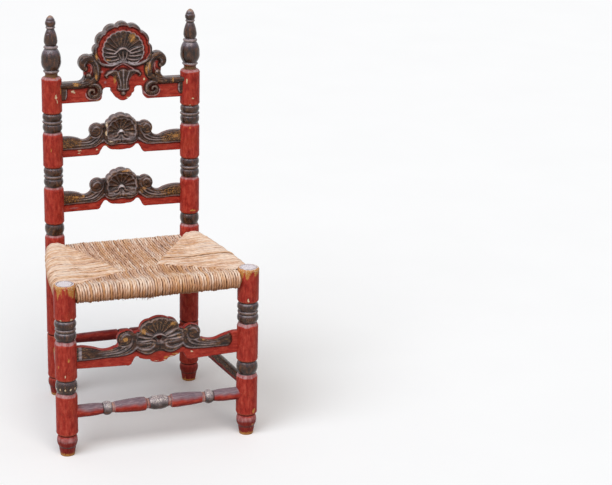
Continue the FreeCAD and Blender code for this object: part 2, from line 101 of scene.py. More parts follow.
def mirrored_outline(bottom_z, right_path, top_z):
    """Whole outline of a board from its right side, with an arc across the bottom and the top."""
    left_path = walked_back(scaled(right_path, -1, 1))
    across_top = (0.0, top_z) + left_path[0]
    across_bottom = (0.0, bottom_z) + right_path[0]
    return right_path + [across_top] + left_path[1:] + [across_bottom]


def arc_points(start, middle, end, step):
    """Points after start on the arc through middle to end."""
    (ax, ay), (mx, my), (bx, by) = start, middle, end
    cross = 2 * (ax * (my - by) + mx * (by - ay) + bx * (ay - my))
    if abs(cross) < 1e-9:
        return [end]
    sa, sm, sb = ax * ax + ay * ay, mx * mx + my * my, bx * bx + by * by
    cx = (sa * (my - by) + sm * (by - ay) + sb * (ay - my)) / cross
    cy = (sa * (bx - mx) + sm * (ax - bx) + sb * (mx - ax)) / cross
    first = math.atan2(ay - cy, ax - cx)
    sweep = (math.atan2(by - cy, bx - cx) - first) % TAU
    if (math.atan2(my - cy, mx - cx) - first) % TAU > sweep:
        sweep -= TAU
    radius = math.hypot(ax - cx, ay - cy)
    count = max(2, math.ceil(abs(sweep) * radius / step))
    angles = [first + sweep * (i + 1) / count for i in range(count)]
    return [(cx + radius * math.cos(a), cy + radius * math.sin(a)) for a in angles]


def sampled(path, step):
    """Points along a path, no further apart than step."""
    points = [path[0]]
    for move in path[1:]:
        start, end = points[-1], move[-2:]
        if len(move) == 4:
            points += arc_points(start, move[:2], end, step)
            continue
        count = max(1, math.ceil(math.dist(start, end) / step))
        for i in range(1, count + 1):
            points.append(tuple(a + (b - a) * (i / count) for a, b in zip(start, end)))
    return points


def spline(points, step):
    """Points along a smooth curve through the given ones, which may carry further values."""
    points = np.asarray(points, float)
    padded = np.vstack([2 * points[0] - points[1], points, 2 * points[-1] - points[-2]])
    result = []
    for a, b, c, d in zip(padded, padded[1:], padded[2:], padded[3:]):
        count = max(2, math.ceil(np.linalg.norm((c - b)[:2]) / step))
        t = np.arange(count)[:, None] / count
        curved = (c - a) * t + (2 * a - 5 * b + 4 * c - d) * t**2 + (3 * b - a - 3 * c + d) * t**3
        result.append(b + 0.5 * curved)
    return np.vstack(result + [points[-1:]])


# Meshes


def link(name, data):
    """Object of the scene that shows the given data."""
    thing = bpy.data.objects.new(name, data)
    bpy.context.scene.collection.objects.link(thing)
    return thing


def make_piece(name, points, faces, masks, material, nodes):
    """Mesh object from points in millimetres, triangle and quad arrays and named vertex masks."""
    mesh = bpy.data.meshes.new(name)
    loops = np.concatenate([group.ravel() for group in faces]).astype(np.int32)
    totals = np.concatenate([np.full(len(group), group.shape[1], np.int32) for group in faces])
    starts = np.append(0, np.cumsum(totals)[:-1]).astype(np.int32)
    mesh.vertices.add(len(points))
    mesh.vertices.foreach_set("co", (points * MM).astype(np.float32).ravel())
    mesh.loops.add(len(loops))
    mesh.loops.foreach_set("vertex_index", loops)
    mesh.polygons.add(len(totals))
    mesh.polygons.foreach_set("loop_start", starts)
    mesh.polygons.foreach_set("use_smooth", np.ones(len(totals), bool))
    for mask, values in masks.items():
        kind, field = ("FLOAT_VECTOR", "vector") if values.ndim == 2 else ("FLOAT", "value")
        layer = mesh.attributes.new(mask, kind, "POINT")
        layer.data.foreach_set(field, values.astype(np.float32).ravel())
    mesh.update(calc_edges=True)
    mesh.validate()
    mesh.materials.append(material)
    piece = link(name, mesh)
    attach(piece, "root")
    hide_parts(*nodes)


def tube_faces(rings, sides, start=0):
    """Quads of a tube of rings, and fans that close its ends on the two points after the rings."""
    index = start + np.arange(rings * sides).reshape(rings, sides)
    ahead = np.roll(index, -1, axis=1)
    quads = np.stack([index[:-1], ahead[:-1], ahead[1:], index[1:]], axis=-1).reshape(-1, 4)
    centre = np.full(sides, start + rings * sides)
    low = np.stack([ahead[0], index[0], centre], axis=-1)
    high = np.stack([index[-1], ahead[-1], centre + 1], axis=-1)
    return quads, np.vstack([low, high])


# Materials


def linear(red, green, blue):
    """Shader colour from screen values between 0 and 255."""
    channels = []
    for value in (red, green, blue):
        value /= 255
        channels.append(value / 12.92 if value <= 0.04045 else ((value + 0.055) / 1.055) ** 2.4)
    return (*channels, 1.0)


def feed(socket, value):
    """Link a value to a socket, or set the socket's own number or colour."""
    if isinstance(value, Value):
        value.tree.links.new(value.socket, socket)
    else:
        socket.default_value = value


def add_node(tree, kind, output, inputs, **settings):
    """One output of a new shader node, as a value."""
    node = tree.nodes.new("ShaderNode" + kind)
    for name, setting in settings.items():
        setattr(node, name, setting)
    for name, value in inputs.items():
        feed(node.inputs[name], value)
    return Value(tree, node.outputs[output])


class Value:
    """Number, vector or colour in a node tree, which takes part in sums and products."""

    def __init__(self, tree, socket):
        self.tree, self.socket = tree, socket

    def math(self, operation, other, swapped=False, clamp=False):
        first, second = (other, self) if swapped else (self, other)
        inputs = {0: first, 1: second}
        return add_node(self.tree, "Math", 0, inputs, operation=operation, use_clamp=clamp)

    def __add__(self, other):
        return self.math("ADD", other)

    def __mul__(self, other):
        return self.math("MULTIPLY", other)

    def __sub__(self, other):
        return self.math("SUBTRACT", other)

    def __rsub__(self, other):
        return self.math("SUBTRACT", other, swapped=True)

    def stretch(self, *factors):
        return add_node(self.tree, "VectorMath", 0, {0: self, 1: factors}, operation="MULTIPLY")

    def noise(self, scale, detail=3.0, roughness=0.55, distortion=0.0):
        inputs = {"Vector": self, "Scale": scale, "Detail": detail, "Roughness": roughness}
        return add_node(self.tree, "TexNoise", 0, inputs | {"Distortion": distortion})

    def step(self, low, high):
        """0 at low and 1 at high, with a smooth rise."""
        inputs = {0: self, 1: low, 2: high}
        return add_node(self.tree, "MapRange", 0, inputs, interpolation_type="SMOOTHSTEP")

    def ramp(self, *stops):
        """Colour between stops of (place, red, green, blue)."""
        colour = add_node(self.tree, "ValToRGB", 0, {0: self})
        elements = colour.socket.node.color_ramp.elements
        while len(elements) < len(stops):
            elements.new(0.5)
        for element, (place, *screen) in zip(elements, stops):
            element.position = place
            element.color = linear(*screen)
        return colour


def mix(factor, first, second):
    return add_node(factor.tree, "Mix", 2, {0: factor, 6: first, 7: second}, data_type="RGBA")


class Surface:
    """New material with its shader's sockets and the values that it can read."""

    def __init__(self, name):
        self.material = bpy.data.materials.new(name)
        self.material.use_nodes = True
        self.tree = self.material.node_tree
        self.inputs = self.tree.nodes["Principled BSDF"].inputs

    def set(self, **values):
        """Feed sockets, named with _ for a space."""
        for name, value in values.items():
            feed(self.inputs[name.replace("_", " ")], value)

    def attribute(self, name, output="Fac"):
        return add_node(self.tree, "Attribute", output, {}, attribute_name=name)

    def place(self):
        return add_node(self.tree, "TexCoord", "Object", {})

    def upward(self):
        """How far the surface faces up, from -1 to 1."""
        normal = add_node(self.tree, "NewGeometry", "Normal", {})
        return add_node(self.tree, "SeparateXYZ", "Z", {0: normal})

    def bump(self, height, distance, strength):
        inputs = {"Height": height, "Distance": distance, "Strength": strength}
        self.set(Normal=add_node(self.tree, "Bump", 0, inputs))


def painted_wood():
    """Old brick red and dark brown paint, worn through to pale ground and ochre wood."""
    s = Surface("painted_wood")
    place = s.attribute("wood", "Vector")
    names = ("dark", "dust_and_sheen", "chip", "gold", "edge", "hollow", "cast", "age")
    dark, dust_and_sheen, chip, gold, edge, hollow, cast, age = [s.attribute(name) for name in names]

    broad = place.noise(0.022, 2.0)
    middle = place.stretch(1.0, 1.0, 0.4).noise(0.13, 4.0, 0.62)
    fine = place.noise(0.75, 3.0, 0.6)
    streak = place.stretch(1.0, 1.0, 0.07).noise(0.55, 3.0, 0.6, 0.3)
    flecks = place.noise(0.42, 5.0, 0.72)
    uneven = flecks - 0.5

    red = middle.ramp((0.28, 132, 33, 27), (0.46, 165, 50, 40), (0.60, 183, 66, 52), (0.76, 200, 92, 74))
    red = mix(streak.step(0.50, 0.72) * 0.28, red, linear(190, 96, 74))
    red = mix(streak.step(0.47, 0.28) * 0.5, red, linear(92, 20, 18))
    red = mix(broad.step(0.52, 0.72) * 0.3, red, linear(172, 66, 40))
    brown = middle.ramp((0.28, 14, 6, 3), (0.45, 44, 22, 12), (0.62, 82, 48, 28), (0.78, 130, 84, 52))
    tan = place.stretch(1.0, 1.0, 0.5).noise(0.21, 5.0, 0.66, 0.8)
    brown = mix(tan.step(0.52, 0.68) * broad.step(0.40, 0.58) * age, brown, linear(174, 128, 80))
    dark_edge = (dark + uneven * 0.9).step(0.36, 0.64)
    paint = mix(dark_edge, red, brown)

    # Grey glaze or darker red over the paint, lilac bloom and dust with a painted sheen on upward faces,
    # and pale dust with painted highlights
    wash = cast + uneven * 0.42
    slate = streak.ramp((0.3, 92, 86, 96), (0.5, 122, 116, 124), (0.7, 158, 150, 156))
    paint = mix(wash.step(0.0, 0.95) * 0.86, paint, slate)
    # Darker red where cast is below zero: painted shade on the stretchers' lower faces, and darker feet
    paint = mix(wash.step(-0.05, -0.9) * 0.72, paint, linear(84, 18, 22))
    # Lilac on upward faces: settled dust and bloom, and a painted sheen where light from above falls
    upward_dust_and_sheen = s.upward().step(0.12, 0.72) * flecks.step(0.34, 0.60)
    bloom_and_sheen = dark_edge * (0.46 - age * 0.71) + 0.05
    paint = mix(upward_dust_and_sheen * bloom_and_sheen, paint, linear(140, 132, 164))
    patchy = (middle + flecks * 0.6).step(0.68, 0.90)
    # Pale dust, with painted highlights on chamfers, shoulders and some carved ridges
    paint = mix(dust_and_sheen * (patchy * 0.62 + 0.36), paint, linear(188, 174, 178))

    # Worn edges, scuffs, ochre rubs, flakes down to the wood, and grime with painted shade in the hollows
    rub = (edge * 0.8 + uneven * 1.6).step(0.42, 0.82)
    worn = mix(dark_edge, linear(206, 112, 84), linear(176, 152, 140))
    paint = mix(rub * (0.62 - dark_edge * 0.14), paint, worn)
    scuffs = flecks.step(0.60, 0.68) * broad.step(0.38, 0.58)
    paint = mix(scuffs * 0.5, paint, linear(206, 146, 116))
    ochre = fine.ramp((0.3, 156, 98, 42), (0.52, 208, 146, 72), (0.72, 238, 190, 124))
    paint = mix((gold + uneven * 2.0).step(0.38, 0.66) * 0.82, paint, ochre)
    flake = (chip + uneven * 1.4).step(0.45, 0.60)
    bare = streak.ramp((0.3, 206, 166, 118), (0.5, 228, 200, 162), (0.7, 240, 222, 196))
    chalk = flecks.ramp((0.34, 164, 148, 168), (0.46, 222, 212, 218), (0.6, 248, 244, 242))
    paint = mix(flake, paint, mix(dust_and_sheen.step(0.35, 0.80), bare, chalk))
    # Dark brown in hollows, grooves and dents: grime and painted shade
    paint = mix(hollow.step(0.10, 0.70) * (0.8 - dust_and_sheen * 0.55), paint, linear(34, 21, 16))

    rough = flecks * 0.40 + 0.20 - dark_edge * 0.13
    rough = rough.math("ADD", flake.math("MAXIMUM", rub) * 0.22, clamp=True)
    varnish = (dark_edge * (0.9 - age * 0.7) + 0.14) * (flecks + rub).step(1.1, 0.4)
    s.set(Base_Color=paint, Roughness=rough, Specular_IOR_Level=0.03, IOR=1.5)
    s.set(Coat_Weight=varnish, Coat_Roughness=0.24)
    height = (streak * 0.5 + fine * 0.22 + flecks * 0.5) * (1.0 - dark_edge * 0.45)
    s.bump(height - flake * 0.5, 0.0009, 0.75)
    return s.material


def rush_straw():
    """Twisted rush: dry leaf fibres, from brown shadow tones to bleached cream."""
    s = Surface("rush_straw")
    fibre, tone, hollow = s.attribute("fibre", "Vector"), s.attribute("tone"), s.attribute("hollow")
    patch = fibre.noise(0.05, 2.0)
    blades = fibre.stretch(1.0, 0.055, 1.0).noise(1.5, 3.0, 0.6)
    specks = fibre.stretch(1.0, 0.2, 1.0).noise(0.55, 4.0, 0.65)
    level = tone + (blades - 0.5) * 0.8 + (specks - 0.5) * 0.8
    straw = level.math("ADD", (patch - 0.5) * 0.65, clamp=True).ramp(
        (0.02, 82, 44, 24), (0.22, 150, 99, 66), (0.42, 190, 146, 116),
        (0.62, 214, 170, 139), (0.80, 234, 192, 160), (0.98, 252, 228, 206),
    )
    each = fibre.stretch(0.02, 0.006, 1.0).noise(0.37, 1.0)
    straw = mix(each.step(0.50, 0.66) * 0.5, straw, linear(214, 156, 92))
    straw = mix(each.step(0.47, 0.34) * 0.4, straw, linear(216, 196, 186))
    # Painted shade: cords that face down turn a darker gold
    straw = mix(s.upward().step(0.85, -0.25) * 0.66, straw, linear(190, 116, 54))
    # Painted shade: darker brown on the cords' sides, between their strands, at seam ends and under the
    # seat
    straw = mix(hollow.math("MULTIPLY", 0.8, clamp=True), straw, linear(112, 62, 32))
    s.set(Base_Color=straw, Roughness=0.52, IOR=1.45)
    ribs = fibre.stretch(1.0, 0.03, 1.0).noise(0.75, 2.0, 0.5)
    s.bump(blades + ribs + specks * 0.6, 0.0011, 0.9)
    return s.material


def plain_dowel():
    """Bare wood of the seat rails, mostly hidden by the rush."""
    s = Surface("plain_dowel")
    grain = s.place().stretch(60.0, 60.0, 400.0).noise(1.0, 4.0)
    wood = grain.ramp((0.3, 120, 84, 50), (0.6, 168, 126, 82), (0.8, 192, 154, 108))
    s.set(Base_Color=wood, Roughness=0.75)
    s.bump(grain, 0.0006, 0.5)
    return s.material


def dry_stuffing():
    """Rush offcuts packed inside the seat."""
    s = Surface("dry_stuffing")
    stems = s.place().stretch(500.0, 90.0, 300.0).noise(1.0, 4.0, 0.65)
    straw = stems.ramp((0.3, 70, 46, 28), (0.55, 122, 88, 56), (0.8, 168, 132, 92))
    s.set(Base_Color=straw, Roughness=0.9)
    s.bump(stems, 0.002, 0.8)
    return s.material


PAINT = painted_wood()
RUSH = rush_straw()


# Turned pieces: paths of (radius, length along the axis)


def bead(low, high, radius, neck):
    return [(neck, low), (radius, (low + high) / 2, neck, high)]


def drum(low, high, radius, neck, chamfer=8.5):
    rise = [(neck, low), (radius - 0.9, low + 2.6, radius, low + 8.0)]
    return rise + [(radius, high - chamfer), (radius - 3.2, high), (neck, high + 1.6)]


def foot(radius_bottom, radius, neck_z):
    return [(radius_bottom, 0.0), (radius_bottom + 4.0, 25.0), (radius, neck_z - 15.0, 22.0, neck_z)]


def rear_post_path():
    radius, neck = REAR_RADIUS, 22.6
    path = foot(18.5, 26.0, 52.0) + drum(53.0, 177.4, radius, neck, chamfer=0.6)
    path += drum(180.0, 464.6, radius, neck) + bead(468.0, 495.5, 26.0, neck)
    path += drum(497.0, 599.0, radius, neck) + bead(601.8, 622.4, 25.9, neck)
    path += bead(623.6, 631.0, 25.6, 23.4) + bead(632.0, 652.2, 25.9, neck)
    path += drum(653.6, 748.8, radius, neck) + bead(751.6, 772.2, 25.9, neck)
    path += bead(773.0, 780.2, 26.3, 23.6) + bead(781.0, 799.6, 25.9, neck)
    top_drum = [
        (neck, 801.1), (radius - 0.9, 803.4, radius, 809.0), (radius, 887.0), (25.2, 894.0, 20.5, 897.8),
    ]
    finial = [
        (18.2, 898.2), (16.4, 904.0, 18.4, 909.8), (21.0, 913.2, 18.4, 916.6), (24.2, 926.5, 25.8, 943.5),
        (23.2, 961.0, 16.4, 973.0), (19.0, 976.6, 16.2, 980.2), (13.8, 981.2), (17.2, 987.2, 17.7, 995.5),
        (14.9, 1011.0, 9.4, 1025.2), (12.6, 1028.8, 10.8, 1031.6), (13.4, 1036.4, 11.6, 1047.0),
        (8.0, 1055.0, 2.6, 1059.6), (0.8, REAR_HEIGHT),
    ]
    return path + top_drum + finial


def front_post_path():
    radius, neck, top = FRONT_RADIUS, 23.4, FRONT_HEIGHT
    path = foot(18.3, 26.6, 57.0) + drum(58.2, 171.6, radius, neck) + bead(175.0, 207.6, radius, neck)
    path += drum(209.6, 314.2, radius, neck) + bead(317.8, 340.2, radius, neck)
    path += bead(341.4, 348.4, 26.8, 24.6) + bead(349.4, 371.2, radius, neck)
    path += [(neck, 373.2), (radius - 0.9, 375.8, radius, 381.0), (radius, top - 5.0)]
    return path + [(radius - 1.6, top - 1.4, radius - 5.0, top), (4.0, top)]


def bands(values, ranges, soft=1.2):
    """1 inside any of the ranges and 0 outside, with soft ends."""
    return most(
        np.zeros(len(values)),
        *(smooth(a - soft, a + soft, values) * (1 - smooth(b - soft, b + soft, values)) for a, b in ranges),
    )


def eased_profile(path):
    """Profile points with corners eased as by thick paint, and how proud or hollow each one is."""
    points = np.array(sampled(path, 0.7))
    for _ in range(3):
        points[1:-1] = (points[:-2] + 2 * points[1:-1] + points[2:]) / 4
    bend = np.zeros(len(points))
    for reach in (2, 5):
        before = points[reach:-reach] - points[: -2 * reach]
        after = points[2 * reach :] - points[reach:-reach]
        turn = before[:, 0] * after[:, 1] - before[:, 1] * after[:, 0]
        lengths = np.linalg.norm(before, axis=1) * np.linalg.norm(after, axis=1)
        bend[reach:-reach] += 0.5 * np.arcsin(np.clip(turn / lengths, -1, 1))
    kept = [0]
    for i in range(1, len(points) - 1):
        gap = np.linalg.norm(points[i] - points[kept[-1]])
        if gap > 3.2 or (gap > 0.65 and abs(bend[kept[-1] : i + 1]).sum() > 0.05):
            kept.append(i)
    kept.append(len(points) - 1)
    return points[kept], np.clip(bend[kept], 0, 1), np.clip(-bend[kept], 0, 1)


def spots(points, marks):
    """1 near any of the marks, each (x, y, z, reach, reach along z), and 0 elsewhere."""
    result = np.zeros(len(points))
    for x, y, z, wide, tall in marks:
        distance = np.linalg.norm((points - (x, y, z)) / (wide, wide, tall), axis=1)
        result = most(result, 1 - smooth(0.2, 1.5, distance + 0.35 * ripple(points, 6.0, 9)))
    return result


def turned(name, path, start, direction, sides, seed, paint):
    """Piece turned on a lathe. paint(along, points, outward) gives its masks."""
    profile, proud, hollow = eased_profile(path)
    start, axis = np.array(start, float), np.array(direction) / np.linalg.norm(direction)
    upright = abs(axis[2])
    aside = np.array([1.0, 0, 0]) if upright > 0.5 else UP
    aside = aside - axis * (aside @ axis)
    aside /= np.linalg.norm(aside)
    third = np.cross(axis, aside)
    angles = np.arange(sides) * TAU / sides
    outward = np.cos(angles)[:, None] * aside + np.sin(angles)[:, None] * third
    radius, along = profile.T[:, :, None, None]
    points = start + along * axis + radius * outward

    # Shallow waves and dents left by hand work and wear
    rough = ripple(points, 9.0, seed) + 0.6 * ripple(points, 26.0, seed + 1)
    dents = np.clip(ripple(points, 14.0, seed + 2) - 0.95, 0, 1)
    worn = np.clip(0.5 + 0.5 * rough, 0, 1.4) * 0.22 + 1.2 * dents
    worn = worn * smooth(0, 9.0, profile[:, 0])[:, None]
    points = (points - worn[..., None] * outward).reshape(-1, 3)
    points = np.vstack([points, start + profile[0, 1] * axis, start + profile[-1, 1] * axis])

    def whole(values, ends=(0, 0)):
        """Values of the rings, or of all their points, with those of the two end centres."""
        return np.append(np.repeat(values, sides) if values.ndim == 1 else values.ravel(), ends)

    offset = points - start
    masks = {
        "wood": np.stack([offset @ aside, offset @ third, offset @ axis], axis=1) + seed * 37.0,
        "edge": whole(np.clip(proud * 2.2, 0, 0.85), (0.3, 0.3)),
        "hollow": most(whole(np.clip(hollow * 2.4, 0, 0.62)), whole(np.clip(dents * 2, 0, 1)) * 0.22),
        "age": np.full(len(points), 0.3),
    }
    masks |= {mask: np.zeros(len(points)) for mask in ("dark", "dust_and_sheen", "chip", "gold", "cast")}
    outward = np.vstack([np.tile(outward, (len(profile), 1)), -axis, axis])
    masks |= paint(whole(profile[:, 1], profile[[0, -1], 1]), points, outward)
    # Pale on the upward shoulders of the dark beads: dust and a painted highlight
    run = np.gradient(profile, axis=0)
    shoulder = smooth(0.3, 0.8, -run[:, 0] / np.hypot(run[:, 0], run[:, 1])) * upright
    masks["dust_and_sheen"] = most(masks["dust_and_sheen"], 0.46 * whole(shoulder) * masks["dark"])
    make_piece(name, points, tube_faces(len(profile), sides), masks, PAINT, [name])


def scratches(along, points, seed):
    """Narrow upright scratches down to the wood on a post's foot."""
    lines = smooth(0.75, 1.5, ripple(points * (1, 1, 0.1), 5.5, seed))
    return 0.6 * lines * bands(along, [(3.0, 36.0)], 6.0)


def rear_post_paint(chips, rubs):
    def paint(along, points, outward):
        jitter = along + 1.4 * ripple(points, 18.0, 5)
        dark = most(
            bands(jitter, [(466.2, 496.4), (600.6, 652.8), (750.4, 800.4), (910.5, 1062.0)]),
            0.38 * bands(jitter, [(-5.0, 53.0)], 4.0),
            # The brown band at 23 to 27 mm is painted shade in the crease above the foot
            0.5 * bands(jitter, [(23.0, 27.0), (898.5, 909.5)]),
        )
        # Pale bands on the drums' top chamfers and the finial's ledges: painted highlight where these face
        # the light, with dust
        drum_tops = [(460.0, 466.0), (595.0, 600.6), (745.0, 750.4), (893.0, 898.5), (972.5, 981.5)]
        finial_ledges = [(910.5, 917.5), (1026.0, 1031.8)]
        dust_and_sheen = most(0.6 * bands(jitter, drum_tops), 0.55 * bands(jitter, finial_ledges))
        gold = most(
            spots(points, rubs), 0.7 * bands(jitter, [(898.5, 909.5)]), 0.8 * smooth(12, 2, along),
            0.5 * smooth(1046, 1058, along), scratches(along, points, 41),
        )
        cast = -0.55 * bands(jitter, [(-5.0, 46.0)], 4.0)
        # Lower age on the finial strengthens the painted sheen and varnish there
        age = 0.3 - 0.2 * smooth(905.0, 915.0, along)
        return dict(dark=dark, dust_and_sheen=dust_and_sheen, chip=spots(points, chips), gold=gold, cast=cast, age=age)

    return paint


def front_post_paint(chips, rubs):
    def paint(along, points, outward):
        jitter = along + 1.4 * ripple(points, 18.0, 6)
        drip = along + 20.0 * ripple(points * (1, 1, 0.18), 10.0, 7)
        worn_top = smooth(455.0, 460.5, along + 1.5 * ripple(points, 9.0, 8))
        reach = np.hypot(np.abs(points[:, 0]) - FRONT_X, points[:, 1] - FRONT_Y)
        reach = reach + 1.2 * ripple(points, 9.0, 43)
        top = smooth(FRONT_HEIGHT - 2.5, FRONT_HEIGHT - 0.5, along)
        ring = top * smooth(2.6, 0.8, np.abs(reach - 19.5))
        face = top * smooth(24.0, 22.0, reach)
        dark = most(
            bands(jitter, [(173.2, 208.8), (315.8, 372.8)]), 0.36 * bands(jitter, [(-5.0, 57.0)], 4.0),
            # The brown band at 23 to 27.5 mm is painted shade in the crease above the foot
            0.6 * bands(jitter, [(23.0, 27.5)]), 0.8 * ring,
        )
        # Pale bands on the drums' top chamfers and the foot's shoulder are painted highlight; the pale leg
        # top is chalky paint
        dust_and_sheen = most(
            0.6 * bands(jitter, [(165.0, 173.2), (308.0, 315.8)]),
            0.35 * bands(jitter, [(40.0, 52.0)], 3.0),
            top * smooth(24.5, 22.0, reach),
        )
        chip = most(spots(points, chips), 0.46 * most(worn_top, 0.8 * smooth(444.0, 456.0, drip)), face)
        gold = most(
            spots(points, rubs), 0.8 * smooth(437.0, 453.0, drip), 0.8 * smooth(15, 2, along),
            scratches(along, points, 42),
        )
        cast = -0.6 * bands(jitter, [(-5.0, 44.0)], 4.0)
        chip, gold = chip * (1 - 0.95 * ring), gold * (1 - face)
        return dict(dark=dark, dust_and_sheen=dust_and_sheen, chip=chip, gold=gold, cast=cast)

    return paint


def make_posts():
    """The four posts, with chips and ochre rubs at (x, y, z, reach, reach along z), left and right."""
    rear_chips = (
        [(-180, REAR_Y - 26, 848, 3.5, 7), (-177, REAR_Y - 25, 836, 2.2, 5)],
        [(172, REAR_Y - 22, 868, 2.2, 8), (188, REAR_Y - 26, 823, 5, 2.5), (180, REAR_Y - 26, 804, 4, 2)],
    )
    rear_rubs = (
        [(-196, REAR_Y - 24, 704, 2, 6), (-166, REAR_Y - 16, 862, 3, 16)],
        [(166, REAR_Y - 16, 300, 5, 20), (188, REAR_Y - 26, 508, 8, 3), (180, REAR_Y - 26, 742, 3, 3)],
    )
    left_chips = [
        (-228, FRONT_Y - 25, 378, 4, 4), (-255, FRONT_Y - 22, 376, 3, 4), (-247, FRONT_Y - 26, 225, 2, 6),
    ]
    for angle in (-1.3, -0.8, -0.3, 0.2, 0.7):
        across, front = FRONT_RADIUS * math.sin(angle), FRONT_RADIUS * math.cos(angle)
        left_chips.append((across - FRONT_X, FRONT_Y - front, 189, 2.2, 3.5))
    front_chips = (left_chips, [(232, FRONT_Y - 27, 384, 2.5, 5), (262, FRONT_Y - 15, 222, 2, 6)])
    front_rubs = (
        [(-238, FRONT_Y - 28, 270, 3, 7), (-262, FRONT_Y - 17, 250, 2, 5)],
        [(252, FRONT_Y - 24, 72, 5, 7), (250, FRONT_Y - 24, 30, 4, 6)],
    )
    for i, (word, side) in enumerate((("left", -1), ("right", 1))):
        start, paint = (side * REAR_X, REAR_Y, 0), rear_post_paint(rear_chips[i], rear_rubs[i])
        turned("rear_post_" + word, rear_post_path(), start, UP, sides=84, seed=11 + i, paint=paint)
        start, paint = (side * FRONT_X, FRONT_Y, 0), front_post_paint(front_chips[i], front_rubs[i])
        turned("front_post_" + word, front_post_path(), start, UP, sides=88, seed=21 + i, paint=paint)


def front_stretcher_paint(along, points, outward):
    reach = np.abs(along)
    facing = outward[:, 2] + 0.12 * ripple(points, 30.0, 3)
    middle = smooth(232.0, 190.0, reach) + 0.4 * smooth(170.0, 210.0, along)
    rings = bands(reach, [(-5.0, 24.0), (124.0, 146.0)])
    necks = bands(reach, [(25.5, 33.0), (116.0, 124.0)])
    # Grey veil on top and darker red below, by which way the surface faces: worn paint with a painted
    # highlight on top, painted shade below
    cast = np.clip(1.15 * facing + 0.12, -0.8, 1) * middle * (1 - 0.6 * necks) * (1 - 0.5 * rings)
    # Pale on the rings' upper sides: dust and a painted highlight
    dust_and_sheen = most(0.75 * necks, 0.6 * rings * smooth(-0.5, 0.7, facing))
    chip = 0.46 * rings * smooth(-0.2, 0.6, facing)
    return dict(dark=0.8 * rings, dust_and_sheen=dust_and_sheen, chip=chip, gold=0.42 * necks, cast=cast)


def rear_stretcher_paint(along, points, outward):
    # Grey on top and darker red on the sides and below, by which way the surface faces: painted highlight
    # and painted shade
    return dict(cast=np.clip(1.4 * outward[:, 2] - 1.0 + 0.12 * ripple(points, 30.0, 4), -0.95, 0.5))


def side_stretcher_paint(along, points, outward):
    facing = outward[:, 2] + 0.15 * ripple(points, 34.0, 8)
    up = smooth(-0.1, 0.5, facing)
    gold = (0.3 + 0.4 * smooth(60.0, 140.0, along)) * up
    # Darker red on the lower faces: painted shade
    cast = np.clip(1.1 * facing - 0.5, -0.8, 0.0)
    return dict(dark=0.9 * up, gold=gold, cast=cast, age=np.full(len(points), 0.95))


def make_stretchers():
    """The four stretchers, from the profiles of their halves, which end inside the posts."""
    end_to_axis = 12.0
    front_half = [
        (18.6, 0.0), (18.0, 12.5, 14.0, 24.5), (13.5, 26.0), (13.5, 32.0), (17.4, 34.5),
        (18.6, 46.0, 18.2, 60.0), (17.0, 88.0, 14.6, 115.5), (13.4, 117.5), (13.4, 124.0),
        (18.7, 135.0, 14.0, 146.0), (16.2, 166.0, 16.6, 190.0), (16.6, FRONT_X - end_to_axis),
    ]
    rear_half = [
        (14.8, 0.0), (14.6, 7.0, 13.4, 13.5), (12.4, 14.5), (12.4, 16.5), (14.7, 19.0), (14.3, 80.0),
        (12.2, 160.0), (12.2, REAR_X - end_to_axis),
    ]
    front_middle, rear_middle = (0, FRONT_Y, FRONT_STRETCHER_Z), (0, REAR_Y, REAR_STRETCHER_Z)
    stretchers = [
        ("front_stretcher", front_half, front_middle, (1, 0, 0), 64, 31, front_stretcher_paint),
        ("rear_stretcher", rear_half, rear_middle, (1, 0, 0), 56, 32, rear_stretcher_paint),
    ]
    for word, side, seed in (("left", -1, 33), ("right", 1, 34)):
        middle = (side * (FRONT_X + REAR_X) / 2, (FRONT_Y + REAR_Y) / 2, SIDE_STRETCHER_Z)
        run = (side * (REAR_X - FRONT_X), REAR_Y - FRONT_Y, 0)
        length = math.hypot(*run)
        half = [(14.0, 0.0), (13.5, length * 0.26, 12.1, length * 0.45), (12.1, length / 2 - end_to_axis)]
        stretchers.append(("side_stretcher_" + word, half, middle, run, 56, seed, side_stretcher_paint))
    for name, half, middle, run, sides, seed, paint in stretchers:
        turned(name, walked_back(scaled(half, 1, -1)) + half[1:], middle, run, sides, seed, paint)


# Carved boards: each relief is drawn on a fine grid of heights, then cut to the board's outline


